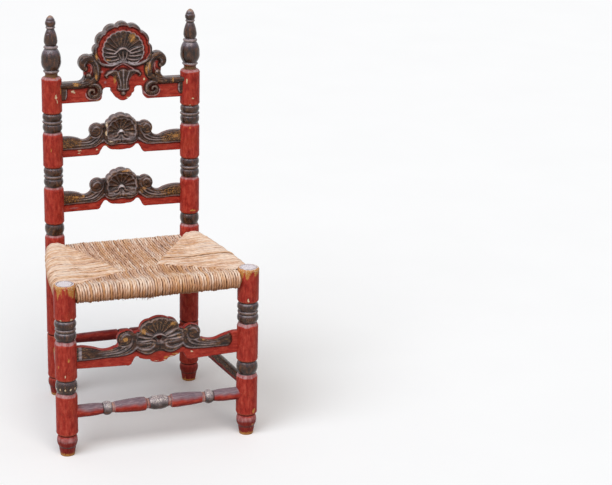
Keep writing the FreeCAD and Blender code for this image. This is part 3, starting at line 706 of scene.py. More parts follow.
class Relief:
    """Grid of heights and paint masks over a board.

    Shapes are drawn at a, the distance from its middle, and b, the height, which both wander a little.
    """

    def __init__(self, half_width, low, high, seed, spacing=0.75):
        self.spacing = spacing
        self.u = np.arange(-half_width - 4, half_width + 4, spacing)
        self.z = np.arange(low - 4, high + 4, spacing)
        self.across, self.up = np.meshgrid(self.u, self.z)
        self.grid = np.stack([self.across, self.up], axis=-1)
        self.a = np.abs(self.across + 0.9 * ripple(self.grid, 60.0, seed))
        self.b = self.up + 0.9 * ripple(self.grid, 55.0, seed + 1)
        self.height = np.zeros_like(self.across)
        self.masks = {name: np.zeros_like(self.across) for name in ("dark", "dust_and_sheen", "chip", "gold")}

    def window(self, points, reach):
        """Which grid points lie near the given ones."""
        low, high = points[:, :2].min(axis=0) - reach, points[:, :2].max(axis=0) + reach
        return (self.a > low[0]) & (self.a < high[0]) & (self.b > low[1]) & (self.b < high[1])

    def polygon(self, points):
        """Distance inside a closed outline, negative outside."""
        points = np.asarray(points)
        near = self.window(points, 12.0)
        depth = np.full(self.a.shape, -12.0)
        depth[near] = outline_depth(np.column_stack([self.a[near], self.b[near]]), points)
        return depth

    def disc(self, x, y, radius):
        return radius - np.hypot(self.a - x, self.b - y)

    def stroke(self, points):
        """Distance inside a band along a smooth curve through (x, y, half width)."""
        curve = spline(points, 0.9)
        near = self.window(curve, curve[:, 2].max() + 6.0)
        a, b = self.a[near], self.b[near]
        inside = np.full(a.shape, -6.0)
        for x, y, half in curve:
            inside = np.maximum(inside, half - np.hypot(a - x, b - y))
        depth = np.full(self.a.shape, -6.0)
        depth[near] = inside
        return depth

    def swell(self, depth, rise, width, base=0.0):
        """Rounded mass that rises from its edge over a width."""
        t = np.clip(depth / width, 0, 1)
        lifted = base + (rise - base) * np.sqrt(t * (2 - t))
        self.height = np.where(depth > 0, np.maximum(self.height, lifted), self.height)

    def sink(self, depth, fall, width):
        """Rounded hollow that falls from its edge over a width."""
        self.height -= fall * smooth(0, width, depth)

    def paint(self, mask, depth, amount=1.0, soft=0.8):
        self.masks[mask] = np.maximum(self.masks[mask], amount * smooth(-soft, soft, depth))

    def mass(self, depth, rise, width, base=0.0, mask="dark", outset=0.0, amount=1.0):
        """Rounded mass with its paint, which reaches further out by an outset."""
        self.swell(depth, rise, width, base)
        self.paint(mask, depth + outset, amount)

    def clear(self, mask, depth, soft=0.8):
        self.masks[mask] = self.masks[mask] * (1 - smooth(-soft, soft, depth))

    def grooves(self, width, *lines):
        """Hollow lines, each (fall, points)."""
        for fall, points in lines:
            self.sink(self.stroke(points), fall, width)

    def pale_lines(self, amount, *lines):
        """Pale lines of dust and painted highlight, each a list of points."""
        for points in lines:
            self.paint("dust_and_sheen", self.stroke(points), amount)

    def mark(self, marks):
        """Worn spots at (u, z, reach, reach upwards, mask), which aren't mirrored."""
        for x, y, wide, tall, mask in marks:
            distance = np.hypot((self.across - x) / wide, (self.up - y) / tall)
            self.masks[mask] = np.maximum(self.masks[mask], 0.7 * (1 - smooth(0.2, 1.6, distance)))

    def blurred(self, field, radius):
        """Field smoothed over a radius in millimetres."""
        pad = int(4 * radius / self.spacing) + 1
        wide = np.pad(field, pad, mode="edge")
        fy = np.fft.fftfreq(wide.shape[0], self.spacing)[:, None]
        fx = np.fft.rfftfreq(wide.shape[1], self.spacing)[None]
        gain = np.exp(-2 * (math.pi * radius) ** 2 * (fx * fx + fy * fy))
        return np.fft.irfft2(np.fft.rfft2(wide) * gain, wide.shape)[pad:-pad, pad:-pad]

    def finish(self, seed):
        """Soften the carving as under thick paint, and find its worn edges and its hollows, darkened by
        grime and painted shade.
        """
        self.height = self.blurred(self.height, 0.85)
        self.height += 0.14 * ripple(self.grid, 5.0, seed + 5) + 0.22 * ripple(self.grid, 13.0, seed + 6)
        near = self.height - self.blurred(self.height, 1.3)
        far = self.height - self.blurred(self.height, 4.0)
        self.masks["edge"] = np.clip(1.5 * near + 0.22 * far - 0.12, 0, 1)
        self.masks["hollow"] = np.clip(-1.1 * near - 0.30 * far - 0.05, 0, 1)

    def at(self, field, points):
        """Values of a grid field at points (u, z)."""
        x = np.clip((points[:, 0] - self.u[0]) / self.spacing, 0, len(self.u) - 1.001)
        y = np.clip((points[:, 1] - self.z[0]) / self.spacing, 0, len(self.z) - 1.001)
        i, j = x.astype(int), y.astype(int)
        s, t = x - i, y - j
        low = field[j, i] * (1 - s) + field[j, i + 1] * s
        high = field[j + 1, i] * (1 - s) + field[j + 1, i + 1] * s
        return low * (1 - t) + high * t


def outline_depth(points, outline):
    """Distance of points inside a closed outline, negative outside."""
    nearest = np.full(len(points), 1e9)
    inside = np.zeros(len(points), bool)
    x, y = points.T
    for (x0, y0), (x1, y1) in zip(outline, np.roll(outline, -1, axis=0)):
        dx, dy = x1 - x0, y1 - y0
        t = np.clip(((x - x0) * dx + (y - y0) * dy) / (dx * dx + dy * dy + 1e-12), 0, 1)
        nearest = np.minimum(nearest, (x - x0 - t * dx) ** 2 + (y - y0 - t * dy) ** 2)
        if y0 != y1:
            inside ^= ((y0 > y) != (y1 > y)) & (x < (y - y0) * dx / dy + x0)
    return np.where(inside, 1, -1) * np.sqrt(nearest)


def triangulated(outline, spacing):
    """Triangles over the inside of an outline: its points come first, then a staggered grid."""
    low, high = outline.min(axis=0), outline.max(axis=0)
    grid = []
    for i, row in enumerate(np.arange(low[1], high[1], spacing * 0.87)):
        columns = np.arange(low[0] + (i % 2) * spacing / 2, high[0], spacing)
        grid.append(np.stack([columns, np.full(len(columns), row)], axis=1))
    grid = np.vstack(grid)
    depth = outline_depth(grid, outline)
    kept = depth > 0.6 * spacing
    points = np.vstack([outline, grid[kept]])
    edges = [(i, (i + 1) % len(outline)) for i in range(len(outline))]
    faces = np.array(delaunay_2d_cdt([Vector(p) for p in points], edges, [], 1, 1e-5, False)[2], np.int32)
    faces = faces[outline_depth(points[faces].mean(axis=1), outline) > 0]
    return points, faces, np.append(np.zeros(len(outline)), depth[kept])


def thinned(points, least):
    """Points of a closed outline with none closer than least to the one before."""
    kept = [points[0]]
    for point in points[1:]:
        if math.dist(point, kept[-1]) >= least:
            kept.append(point)
    return np.array(kept[:-1] if math.dist(kept[0], kept[-1]) < least else kept)


def carved_board(name, path, relief, front_y, back_y, middle_x, base_z, seed, dark_side):
    """Closed board: carved front, flat back and sawn edge. front_y is the ground of the carving."""
    outline = thinned(sampled(path, 1.3), 0.5)
    front, front_faces, depth = triangulated(outline, 1.25)
    back, back_faces, back_depth = triangulated(outline, 6.0)
    count, rows, ease = len(outline), 6, 1.7

    setback = ease - np.sqrt(ease**2 - np.clip(ease - depth, 0, ease) ** 2)
    y_front = front_y - relief.at(relief.height, front) + setback
    y_back = back_y - 1.2 * smooth(3.0, 0.0, back_depth) - 0.3 * (1 + ripple(back, 30.0, seed + 9))
    parts = [np.column_stack([front[:, 0], y_front, front[:, 1]])]
    for i in range(1, rows):
        y = y_front[:count] * (1 - i / rows) + y_back[:count] * (i / rows)
        rough = 0.12 * ripple(np.column_stack([outline, y]), 8.0, seed + 10)
        sawn = outline * (1 - 0.0004 * np.abs(rough))[:, None]
        parts.append(np.column_stack([sawn[:, 0], y, sawn[:, 1]]))
    parts.append(np.column_stack([back[:, 0], y_back, back[:, 1]]))
    points = np.vstack(parts)

    starts = [0] + [len(front) + i * count for i in range(rows)]
    ring = np.arange(count)
    ahead = np.roll(ring, -1)
    pairs = zip(starts, starts[1:])
    quads = [np.stack([ahead + low, ring + low, ring + high, ahead + high], axis=1) for low, high in pairs]
    faces = [front_faces, np.vstack(quads), back_faces[:, ::-1] + starts[-1]]

    # The paint at the rim is read a little inside it, where the carving is whole
    run = np.roll(outline, -1, axis=0) - np.roll(outline, 1, axis=0)
    inward = np.column_stack([-run[:, 1], run[:, 0]]) / np.linalg.norm(run, axis=1)[:, None]
    rim_width = 2.4
    rim = depth < rim_width
    nearest = np.linalg.norm(front[rim][:, None] - outline[None], axis=2).argmin(axis=1)
    inner = front.copy()
    inner[rim] = outline[nearest] + rim_width * inward[nearest]
    masks = {}
    kept_on_side = {"edge": 0.05, "hollow": 0.2, "dark": dark_side, "dust_and_sheen": 0.2, "chip": 0.3, "gold": 0.3}
    for mask, field in relief.masks.items():
        values = relief.at(field, front if mask in ("edge", "hollow") else inner)
        side = values[:count] * kept_on_side[mask]
        on_back = np.zeros(len(back))
        if mask == "edge":
            values = np.maximum(values, 0.42 * smooth(2.2, 0.0, depth))
            on_back = 0.5 * smooth(2.5, 0.0, back_depth)
        masks[mask] = np.concatenate([values] + [side] * (rows - 1) + [on_back])
    masks["age"] = np.full(len(points), 0.62)
    masks["wood"] = points[:, ::-1] + seed * 41.0
    make_piece(name, points + (middle_x, 0, base_z), faces, masks, PAINT, [name])


def polar(centre_z, radius, angle):
    return (radius * math.cos(math.radians(angle)), centre_z + radius * math.sin(math.radians(angle)))


def over_shell(bottom_z, side, centre_z, valleys, join, outer, inner, top_z):
    """Outline up a side to a shell's first valley, at radius join, and on over its lobes.

    The shell has valleys of radius inner at the given angles, and lobes of radius outer between them.
    """
    path = side + [polar(centre_z, join, valleys[0])]
    for low, high in zip(valleys, valleys[1:]):
        path.append(polar(centre_z, outer, (low + high) / 2) + polar(centre_z, inner, high))
    return mirrored_outline(bottom_z, path, top_z)


def valley_grooves(r, shell, start, end, fall, width):
    """Grooves between a shell's lobes, each from start to end as (radius, half width)."""
    for angle in shell["valleys"]:
        line = [(*polar(shell["centre_z"], radius, angle), half) for radius, half in (start, end)]
        r.grooves(width, (fall, line))


def shell_dish(r, inside, hub, ridges, scallop, rim, floor, groove, worn=0.8, plate=0.0):
    """Hollow shell: flutes between ridges at the given angles fan out from the hub to a scalloped rim.

    Its surface falls from the rim's height to the floor's, and a plate round it can stand proud.
    """
    du, dz = r.a - hub[0], r.b - hub[1]
    distance = np.hypot(du, dz)
    place = np.interp(np.degrees(np.arctan2(dz, du)), ridges, np.arange(len(ridges)))
    flute = 1 - (2 * (place - np.floor(place)) - 1) ** 2
    depth = inside + scallop * (np.sqrt(flute) - 0.6) * smooth(14.0, 30.0, distance)
    if plate:
        r.swell(depth + 2.6, plate, 2.4, 3.0)
        r.paint("dark", depth + 1.2)
    t = distance / np.maximum(distance + np.maximum(depth, -3.0), 1.0)
    bowl = floor + (rim - floor) * t**2.4
    shape = bowl - groove * (flute - 0.45) * smooth(3.0, 15.0, distance) * (1.1 - 0.5 * t)
    share = smooth(0.0, 2.2, depth)
    r.height = r.height * (1 - share) + shape * share
    r.paint("dust_and_sheen", 1.3 - np.abs(depth - 0.4), worn)
    ridge_line = (0.16 - flute) * distance * 0.12
    r.paint("dust_and_sheen", np.minimum(ridge_line, np.minimum(depth - 3, distance - 9)), 0.3 * worn, 0.5)


# Shells that stand over the boards' outlines
CREST_SHELL = dict(centre_z=955.5, valleys=(-3, 17, 47, 76.5), join=77, outer=79.5, inner=73, top_z=1035)
SLAT_SHELL = dict(centre_z=65.5, valleys=(26, 45, 72), join=46, outer=47.5, inner=45, top_z=113)
APRON_SHELL = dict(centre_z=297, valleys=(24, 64), join=56, outer=61.5, inner=56, top_z=354)


def crest_outline():
    side = [
        (15.5, 831.5), (21.5, 835.5, 24, 843), (29, 846, 30.5, 853), (34.5, 860, 42, 861.5),
        (52, 858.5, 54.5, 850), (56.5, 840), (60.5, 829, 71, 825.5), (174, 825), (174, 880), (120, 880),
        (107.5, 885, 102.5, 898), (103.5, 908.2), (117.5, 929, 86, 949.6),
    ]
    return over_shell(824, side, **CREST_SHELL)


def crest_shell(r):
    """Shell of the crest rail, with the petals inside it, and how far points lie inside its channel."""
    shell = r.polygon(sampled(over_shell(928, [(14, 924), (40, 917.5, 62, 930)], **CREST_SHELL), 2))
    roof = r.stroke([(48, 896, 1.5), (35, 903, 2), (23, 912, 2.4), (10, 921, 2.6), (-3, 927, 2.8)])
    r.mass(roof, 4.6, 2.6, mask="dust_and_sheen", outset=-0.6, amount=0.75)
    r.mass(shell, 9.4, 6.5, 1, outset=2)
    valley_grooves(r, CREST_SHELL, (69, 0.6), (79.5, 2.6), 3.6, 2)
    channel = np.minimum(r.disc(0, 956.5, 71.5), shell - 4.2)
    channel = most(channel, np.minimum(r.disc(36, 945, 28), r.b - 924))
    r.sink(channel, 6.2, 2.2)
    r.clear("dark", channel - 0.4)

    bowl = np.minimum(r.disc(0, 958, 55.5), r.b - 938)
    dish = most(bowl, r.disc(29, 947.5, 23), r.disc(5, 944, 18))
    ridges = [-66, -42, -24, -9, 8, 23, 38, 53, 68, 82, 98]
    sizes = dict(scallop=3.2, rim=6.8, floor=0.4, groove=3.4, worn=1, plate=6.8)
    shell_dish(r, dish - 1.6, (0, 952), ridges, **sizes)
    for petal, rise in (
        ([(15, 956, 1.6), (28, 962, 3), (42, 966, 2.6), (50, 968, 1.2)], 7),
        ([(18, 951, 1.8), (31, 954, 3.2), (43, 956, 2.8), (50, 957, 1.2)], 7.2),
        ([(17, 945.5, 2), (30, 945, 3.4), (42, 945, 2.6), (48, 947, 1.2)], 7.4),
        ([(12, 938, 2.6), (24, 935, 3.8), (36, 934, 3.2), (44, 937, 1.4)], 7.6),
    ):
        r.swell(r.stroke(petal), rise, 3, 2)
        r.pale_lines(0.8, [(x, y + 0.8, w * 0.3) for x, y, w in petal])
    wing = [(31, 951, 1), (22, 953.5, 2), (14, 959, 2.6), (7, 964, 3.2), (0, 965.5, 3.4), (-4, 965.5, 3.4)]
    r.mass(r.stroke(wing), 8.6, 2.8, mask="dust_and_sheen", outset=-0.5)
    for ray in (
        [(0, 931, 3.4), (0, 944, 2.6), (0, 958, 1.2)],
        [(5, 935, 2.4), (9, 945, 2.6), (12, 955, 1.2)],
    ):
        r.swell(r.stroke(ray), 6, 2.6, 1)
        r.pale_lines(0.7, [(x, y, w * 0.3) for x, y, w in ray])
    lower_arm = [
        (74, 948, 3), (68, 935, 3.6), (55, 925, 4), (39, 920.5, 4.2), (24, 921, 3.8), (12, 925.5, 3.4),
        (4, 931, 2.8), (2, 936, 2),
    ]
    r.mass(r.stroke(lower_arm), 9.2, 4)
    r.pale_lines(0.95, [(63, 933, 0.6), (52, 926.5, 1.3), (39, 923, 1.5), (25, 923.5, 1.3), (12, 928, 0.7)])
    return shell, channel


def crest_tulip(r):
    """Hanging tulip with its curled tips, band and knob."""
    right = [(9, 851), (14, 853, 14.5, 862), (17, 884, 30, 896), (41, 900), (30, 907.5, 14, 905)]
    r.mass(r.polygon(sampled(mirrored_outline(849.5, right, 911), 1.5)), 7.6, 7, 1)
    r.grooves(
        1.7,
        (3.2, [(4, 858, 1), (4.5, 882, 1.8), (8, 904, 1.8)]),
        (3.2, [(11, 860, 0.8), (13, 880, 1.5), (23, 899, 1.6)]),
    )
    r.pale_lines(
        0.85,
        [(0, 856, 0.7), (0, 880, 1), (1, 907, 1)],
        [(7.6, 858, 0.6), (9, 880, 1), (16, 903, 1)],
        [(13.2, 862, 0.5), (16.5, 878, 0.8), (27, 895, 0.9), (38, 900, 0.6)],
        [(18, 907, 0.5), (30, 907, 1), (41, 903.5, 1)],
    )
    tip = [(14, 904.5, 2), (28, 904.5, 3.4), (39, 901.5, 4), (45.5, 895, 3), (43, 890, 2)]
    r.mass(r.stroke(tip), 8.6, 3.8)
    band = r.stroke([(-14, 858, 2), (0, 855.5, 2.3), (14, 858, 2)])
    r.mass(band, 8, 2.3, mask="dust_and_sheen", outset=-0.6, amount=0.7)
    r.mass(r.disc(0, 844.5, 6.8), 7, 6.8)
    r.paint("dust_and_sheen", r.disc(-1, 846.5, 2.6), 0.9)


def crest_scrolls(r):
    """Ear scroll with its arm out to the post, the volute under it, and the cuff at the post."""
    scroll = [
        (182, 873.5, 8), (130, 873.5, 8), (106, 874.5, 8.2), (88, 878, 8.4), (74, 888, 8.8),
        (68.5, 901, 9), (69.5, 916, 9.2), (75, 931, 9.6), (86, 941, 10.2), (98, 941.5, 10.6),
        (107, 933, 10.4), (108, 922, 9.4), (102, 916, 7),
    ]
    r.mass(r.stroke(scroll), 8.4, 8.6, 1, outset=1.2)
    r.grooves(
        1.3,
        (2.6, [
            (73, 896, 0.5), (73, 912, 1.2), (79, 927, 1.5), (89, 935, 1.6), (99, 934, 1.4), (103, 926, 0.7),
        ]),
        (2.6, [(64, 886, 0.5), (62, 900, 1), (63, 914, 1.1), (68, 930, 1.2), (76, 943, 0.8)]),
        (2.6, [(168, 874, 0.6), (130, 874.5, 1.2), (106, 875.5, 1.5), (90, 880, 1.4), (79, 888, 0.8)]),
    )
    r.pale_lines(
        0.8,
        [(77.5, 900, 0.4), (79.5, 913, 1), (85, 924.5, 1.1), (92, 929, 0.9)],
        [(66, 900, 0.4), (67, 914, 0.9), (72, 928, 0.9), (80, 939, 0.5)],
        [(99, 936, 0.4), (104, 930, 0.8), (104, 923.5, 0.5)],
    )
    r.mass(r.stroke([(86, 903, 1), (84, 911, 1.5), (86, 920, 1.2)]), 3.6, 1.6, mask="dust_and_sheen", amount=0.75)
    r.mass(r.disc(92, 896, 8.5), 7, 7.5, 1)
    r.paint("dust_and_sheen", r.disc(89.5, 899.5, 2.4), 0.8)

    corner = r.polygon([(84, 884), (100, 880), (124, 879), (112, 883), (104, 890), (98, 897)])
    r.mass(corner, 6, 4, 1, outset=1)
    r.pale_lines(0.6, [(172, 880, 0.8), (122, 880.5, 0.9), (106, 883, 0.7)])
    r.grooves(1.3, (3, [(180, 865, 1.2), (120, 865, 1.3), (98, 863.5, 1.2), (84, 866, 0.8)]))
    volute = [
        (90, 871, 5.4), (76, 869.5, 6.4), (66, 861.5, 6.8), (64.5, 850, 6.6), (72, 841.5, 6.2),
        (84, 841.5, 5.8), (91, 849, 5.4), (88, 857.5, 4.8), (80.5, 857, 4.2), (78.5, 851.5, 3.6),
    ]
    r.mass(r.stroke(volute), 7.6, 5.8, 1)
    turn = [
        (88, 865, 0.5), (79, 864, 1.1), (72.5, 857.5, 1.2),
        (73, 850, 1.2), (80, 847, 1.1), (84.5, 851.5, 0.6),
    ]
    r.grooves(1.2, (2.8, turn))
    r.pale_lines(0.7, [(86, 873, 0.4), (74, 872, 1), (64, 863, 1), (62, 851, 0.6)])
    rim = r.stroke([
        (57, 846, 0.8), (62, 837.5, 1.4), (72, 832.6, 1.9),
        (86, 832.4, 1.9), (97, 839.5, 1.6), (100, 850, 0.8),
    ])
    r.mass(rim, 3, 1.3, mask="dust_and_sheen")
    r.paint("gold", rim, 0.35)
    cuff = r.polygon([(153, 834), (149, 842), (148, 854), (151, 868), (182, 868), (182, 834)])
    r.mass(cuff, 3.6, 4)
    for x in (156, 161, 167):
        r.grooves(1, (1.6, [(x, 836, 0.8), (x - 1.5, 850, 1), (x, 864, 0.8)]))
    r.pale_lines(0.9, [(154, 837, 0.5), (151, 845, 1.2), (150.5, 855, 1.2), (152, 863, 0.5)])
    r.paint("gold", cuff - 4, 0.12)


def crest_relief():
    r = Relief(half_width=176, low=822, high=1037, seed=101)
    shell, channel = crest_shell(r)
    crest_tulip(r)
    crest_scrolls(r)
    r.paint("dust_and_sheen", 1.1 - np.abs(channel + 1.4), 0.35)
    r.mark([
        (25, 992, 11, 17, "gold"), (-40, 938, 8, 3, "gold"), (-127, 875, 14, 4, "gold"),
        (70, 915, 5, 14, "gold"), (-135, 857, 6, 5, "chip"), (-131, 853, 4, 3, "chip"),
        (57, 879, 3.5, 6, "chip"), (-58, 905, 5, 3, "dust_and_sheen"), (-48, 876, 3, 4, "dust_and_sheen"),
        (62, 905, 4, 16, "gold"), (-71, 950, 5, 13, "gold"), (-73, 893, 4, 9, "gold"),
        (134, 872, 3, 10, "gold"), (-22, 882, 5, 15, "gold"), (14, 832, 7, 2.5, "chip"),
        (-70, 829, 12, 1.5, "chip"),
    ])
    r.finish(101)
    r.masks["edge"] *= 1 - 0.6 * smooth(-1, 1.5, np.minimum(shell, -channel))
    return r


def slat_outline():
    side = [
        (17, 13), (29, 15, 38, 22), (44, 25, 50, 21), (57, 10), (61.5, 2.5, 70, 1), (174, 0), (174, 53.5),
        (134, 55, 112, 49), (97, 45.5, 88.5, 50), (84.5, 54, 83, 59), (85.5, 70, 74.5, 85.5),
        (65.5, 88, 53, 84),
    ]
    return over_shell(11.5, side, **SLAT_SHELL)


def slat_relief(seed, marks):
    r = Relief(half_width=176, low=-2, high=115, seed=seed)
    leaf = r.polygon([
        (46, 34), (54, 34), (62, 28), (74, 24.5), (100, 23.5), (180, 22), (180, 55.5), (150, 57),
        (134, 56), (112, 50.5), (97, 47), (88, 51.5), (82, 60), (60, 88), (44, 80),
    ])
    body = [(-2, 31), (20, 27.5), (34, 29), (46, 40), (50, 84), (30, 116), (-2, 118)]
    r.paint("dark", most(leaf, r.polygon(body)))
    r.swell(leaf, 6.2, 9.5, 1)
    ridge = [(180, 23.6, 1.7), (82, 24.8, 1.8), (66, 28.5, 1.9), (54, 37, 1.9), (47, 44, 1.5)]
    r.mass(r.stroke(ridge), 4.2, 1.8, mask="dust_and_sheen", amount=0.95)
    r.grooves(
        1.5,
        (3, [(132, 30, 0.5), (108, 29.5, 1.5), (84, 31, 2), (68, 37, 2), (57, 48, 1.8), (51, 62, 1.2)]),
        (3, [(140, 38, 0.4), (116, 36, 1.3), (96, 35.5, 1.8), (80, 39, 2), (68, 47, 1.8), (60, 57, 1.2)]),
        (2.4, [(128, 44, 0.4), (110, 41.5, 1.1), (97, 41, 1.5), (86, 45, 1.6), (78, 51, 1.2)]),
    )
    ball = r.disc(66, 68, 20.5)
    r.mass(ball, 9.4, 15, 2, outset=3)
    outer_turn = [(86, 60, 0.8), (77, 55, 1.7), (66, 55, 2), (57.5, 61, 1.9), (55, 70, 1.4), (58, 79, 0.6)]
    r.grooves(1.6, (3.4, outer_turn))
    inner_turn = [
        (78, 66, 0.6), (73, 61.5, 1.3), (66, 62.5, 1.5), (62.5, 68.5, 1.4), (66, 74.5, 1.1), (71, 72, 0.7),
    ]
    r.grooves(1.3, (2.6, inner_turn))
    r.pale_lines(
        0.8,
        [(124, 33, 0.5), (100, 32.5, 0.9), (82, 35, 1.1), (67, 43, 1), (57, 56, 0.6)],
        [(118, 39.5, 0.4), (98, 38.6, 0.9), (84, 42, 1), (72, 50, 0.7)],
        [(80, 70, 0.5), (75, 78, 1.2), (66, 81.5, 1.3), (59, 77, 0.8)],
    )
    r.pale_lines(0.75, [(82, 57, 0.5), (74, 52, 1.1), (63, 52, 1.1), (54, 60, 0.8), (52, 70, 0.5)])

    low_side = [(10, 32.5), (24, 27, 38, 34), (46.5, 46, 46.5, 62)]
    shell = r.polygon(sampled(over_shell(34.5, low_side, **SLAT_SHELL), 1.6))
    r.swell(shell, 9.2, 5.5, 1)
    valley_grooves(r, SLAT_SHELL, (37, 0.8), (47.5, 2.2), 3, 1.8)
    inside = np.minimum(np.minimum(shell - 3, r.b - 41 - 0.18 * r.a), r.disc(0, 62, 38.5))
    ridges = [-60, -36, -14, 9, 35, 62, 90, 118]
    shell_dish(r, inside, (0, 62), ridges, scallop=2.8, rim=8.2, floor=0.2, groove=3.8)
    r.swell(r.stroke([(9, 54, 3), (22, 50, 4.6), (38, 53, 3.4), (43, 58, 2)]), 8.2, 4.6, 3)
    r.swell(r.stroke([(6, 46, 3.6), (17, 39.5, 6), (30, 37, 6.2), (41, 42, 3.6)]), 8.8, 4.6, 3)
    r.grooves(1.6, (3.6, [(9, 49.5, 1.2), (22, 45, 1.6), (36, 45.5, 1.4), (45, 50, 0.8)]))
    r.grooves(1.7, (3.4, [(11, 41, 0.9), (20, 36, 1.8), (31, 34.5, 1.8), (39, 38, 0.9)]))
    r.grooves(2.2, (5, [(0, 33, 1.6), (0, 40, 2.2), (0, 49, 1.2)]))
    r.pale_lines(
        0.7,
        [(8, 52, 0.6), (22, 48.5, 1.3), (36, 49.5, 1)],
        [(8, 44, 0.6), (18, 40.5, 1.4), (30, 39.5, 1.4), (38, 42, 0.7)],
    )
    lower_rim = [(0, 30.5, 1.5), (14, 28.8, 1.5), (28, 28.8, 1.6), (40, 34, 1.5), (46, 42, 1.2)]
    r.mass(r.stroke(lower_rim), 5, 1.8, mask="dust_and_sheen", amount=0.95)
    r.mass(r.stroke([(0, 64, 4), (4, 62.5, 3.4), (9, 58.5, 2.2)]), 9, 3.6, mask="dust_and_sheen")
    r.grooves(1.2, (2.4, [(0, 60, 1.2), (4, 58.5, 1.2), (7, 55, 0.8)]))
    r.paint("chip", r.disc(1, 65, 4), 0.5)
    # Painted highlight along the top of the shell's rim
    r.paint("dust_and_sheen", np.minimum(1.2 - np.abs(shell - 2.2), r.b - 78), 0.6)
    r.paint("gold", np.minimum(leaf - 3, r.a - 104), 0.40, 7)
    r.mark(marks)
    r.masks["dust_and_sheen"] = 0.95 * r.blurred(r.masks["dust_and_sheen"], 0.6)
    r.finish(seed)
    return r


def apron_outline():
    side = [
        (15, 231.5), (21, 234.5, 25, 239.5), (40, 241.5, 52, 246), (58, 251, 65, 247), (71, 236),
        (76, 229.5, 86, 228.8), (225, 234), (225, 292.5), (200, 292.5), (178, 288, 160, 282),
        (136, 277.5, 116, 283), (108.5, 286, 107, 293), (107.5, 311, 91, 323), (77, 324, 66, 316),
    ]
    return over_shell(229, side, **APRON_SHELL)


def apron_leaves(r):
    """Dark ground, long leaf with its ridge and veins, and the scroll ball at its end."""
    on_right = r.across > 0
    leaf = r.polygon([
        (52, 268), (62, 270), (72, 262), (86, 258.5), (110, 257), (240, 256), (240, 295), (200, 294.5),
        (178, 290), (160, 284), (136, 279.5), (116, 285), (106, 296), (84, 326), (54, 318),
    ])
    leaf = np.where(on_right & (r.a > 168), np.minimum(leaf, r.disc(168, 273.5, 24)), leaf)
    body = [(-2, 262), (14, 259), (32, 256.5), (50, 262), (64, 290), (66, 320), (40, 352), (-2, 358)]
    r.paint("dark", most(leaf, r.polygon(body)))
    r.swell(leaf, 6.6, 10, 1)
    ridge = r.stroke([
        (236, 258.2, 1.4), (150, 258.5, 1.6), (104, 259.5, 1.9), (84, 262, 2), (69, 270, 2), (60, 280, 1.6),
    ])
    r.mass(np.where(on_right & (r.a > 182), -6, ridge), 5, 2, mask="dust_and_sheen", amount=0.95)
    r.grooves(
        1.7,
        (3.2, [
            (168, 263.5, 0.5), (128, 263.5, 1.6), (102, 265, 2.2),
            (84, 271.5, 2.2), (72, 283, 2), (67, 298, 1.2),
        ]),
        (3.4, [
            (176, 270.5, 0.4), (142, 269.5, 1.5), (114, 271, 2),
            (96, 276, 2.2), (83, 285, 2), (77, 295, 1.2),
        ]),
        (2.8, [(184, 277.5, 0.4), (156, 275, 1.3), (132, 274.5, 1.6), (112, 279, 1.8), (99, 287, 1.2)]),
    )
    r.mass(r.disc(86.5, 302.5, 21), 9, 16, 2, outset=3)
    outer_turn = [
        (107, 292, 0.8), (98, 287.5, 1.7), (87, 288, 2), (78, 294, 1.9), (75.5, 304, 1.5), (79, 313, 0.6),
    ]
    inner_turn = [
        (98, 301, 0.6), (93, 296, 1.3), (86, 297, 1.5), (82.5, 303, 1.4), (86, 309, 1.1), (91, 306.5, 0.7),
    ]
    r.grooves(1.6, (3.4, outer_turn))
    r.grooves(1.3, (2.6, inner_turn))
    r.pale_lines(
        0.8,
        [(150, 266.5, 0.5), (122, 267, 1), (98, 270.5, 1.2), (82, 279, 1.1), (73, 291, 0.6)],
        [(160, 273, 0.4), (132, 272, 0.9), (108, 275.5, 1.1), (92, 284, 0.9)],
        [(150, 279.5, 0.4), (134, 277.8, 0.9), (116, 283, 0.8)],
        [(101, 305, 0.5), (96, 314, 1.2), (87, 317.5, 1.3), (79, 314, 0.8)],
    )
    r.pale_lines(0.75, [(104, 288.5, 0.5), (95, 284.5, 1.1), (83, 285.5, 1.1), (74, 293, 0.8), (71.5, 304, 0.5)])


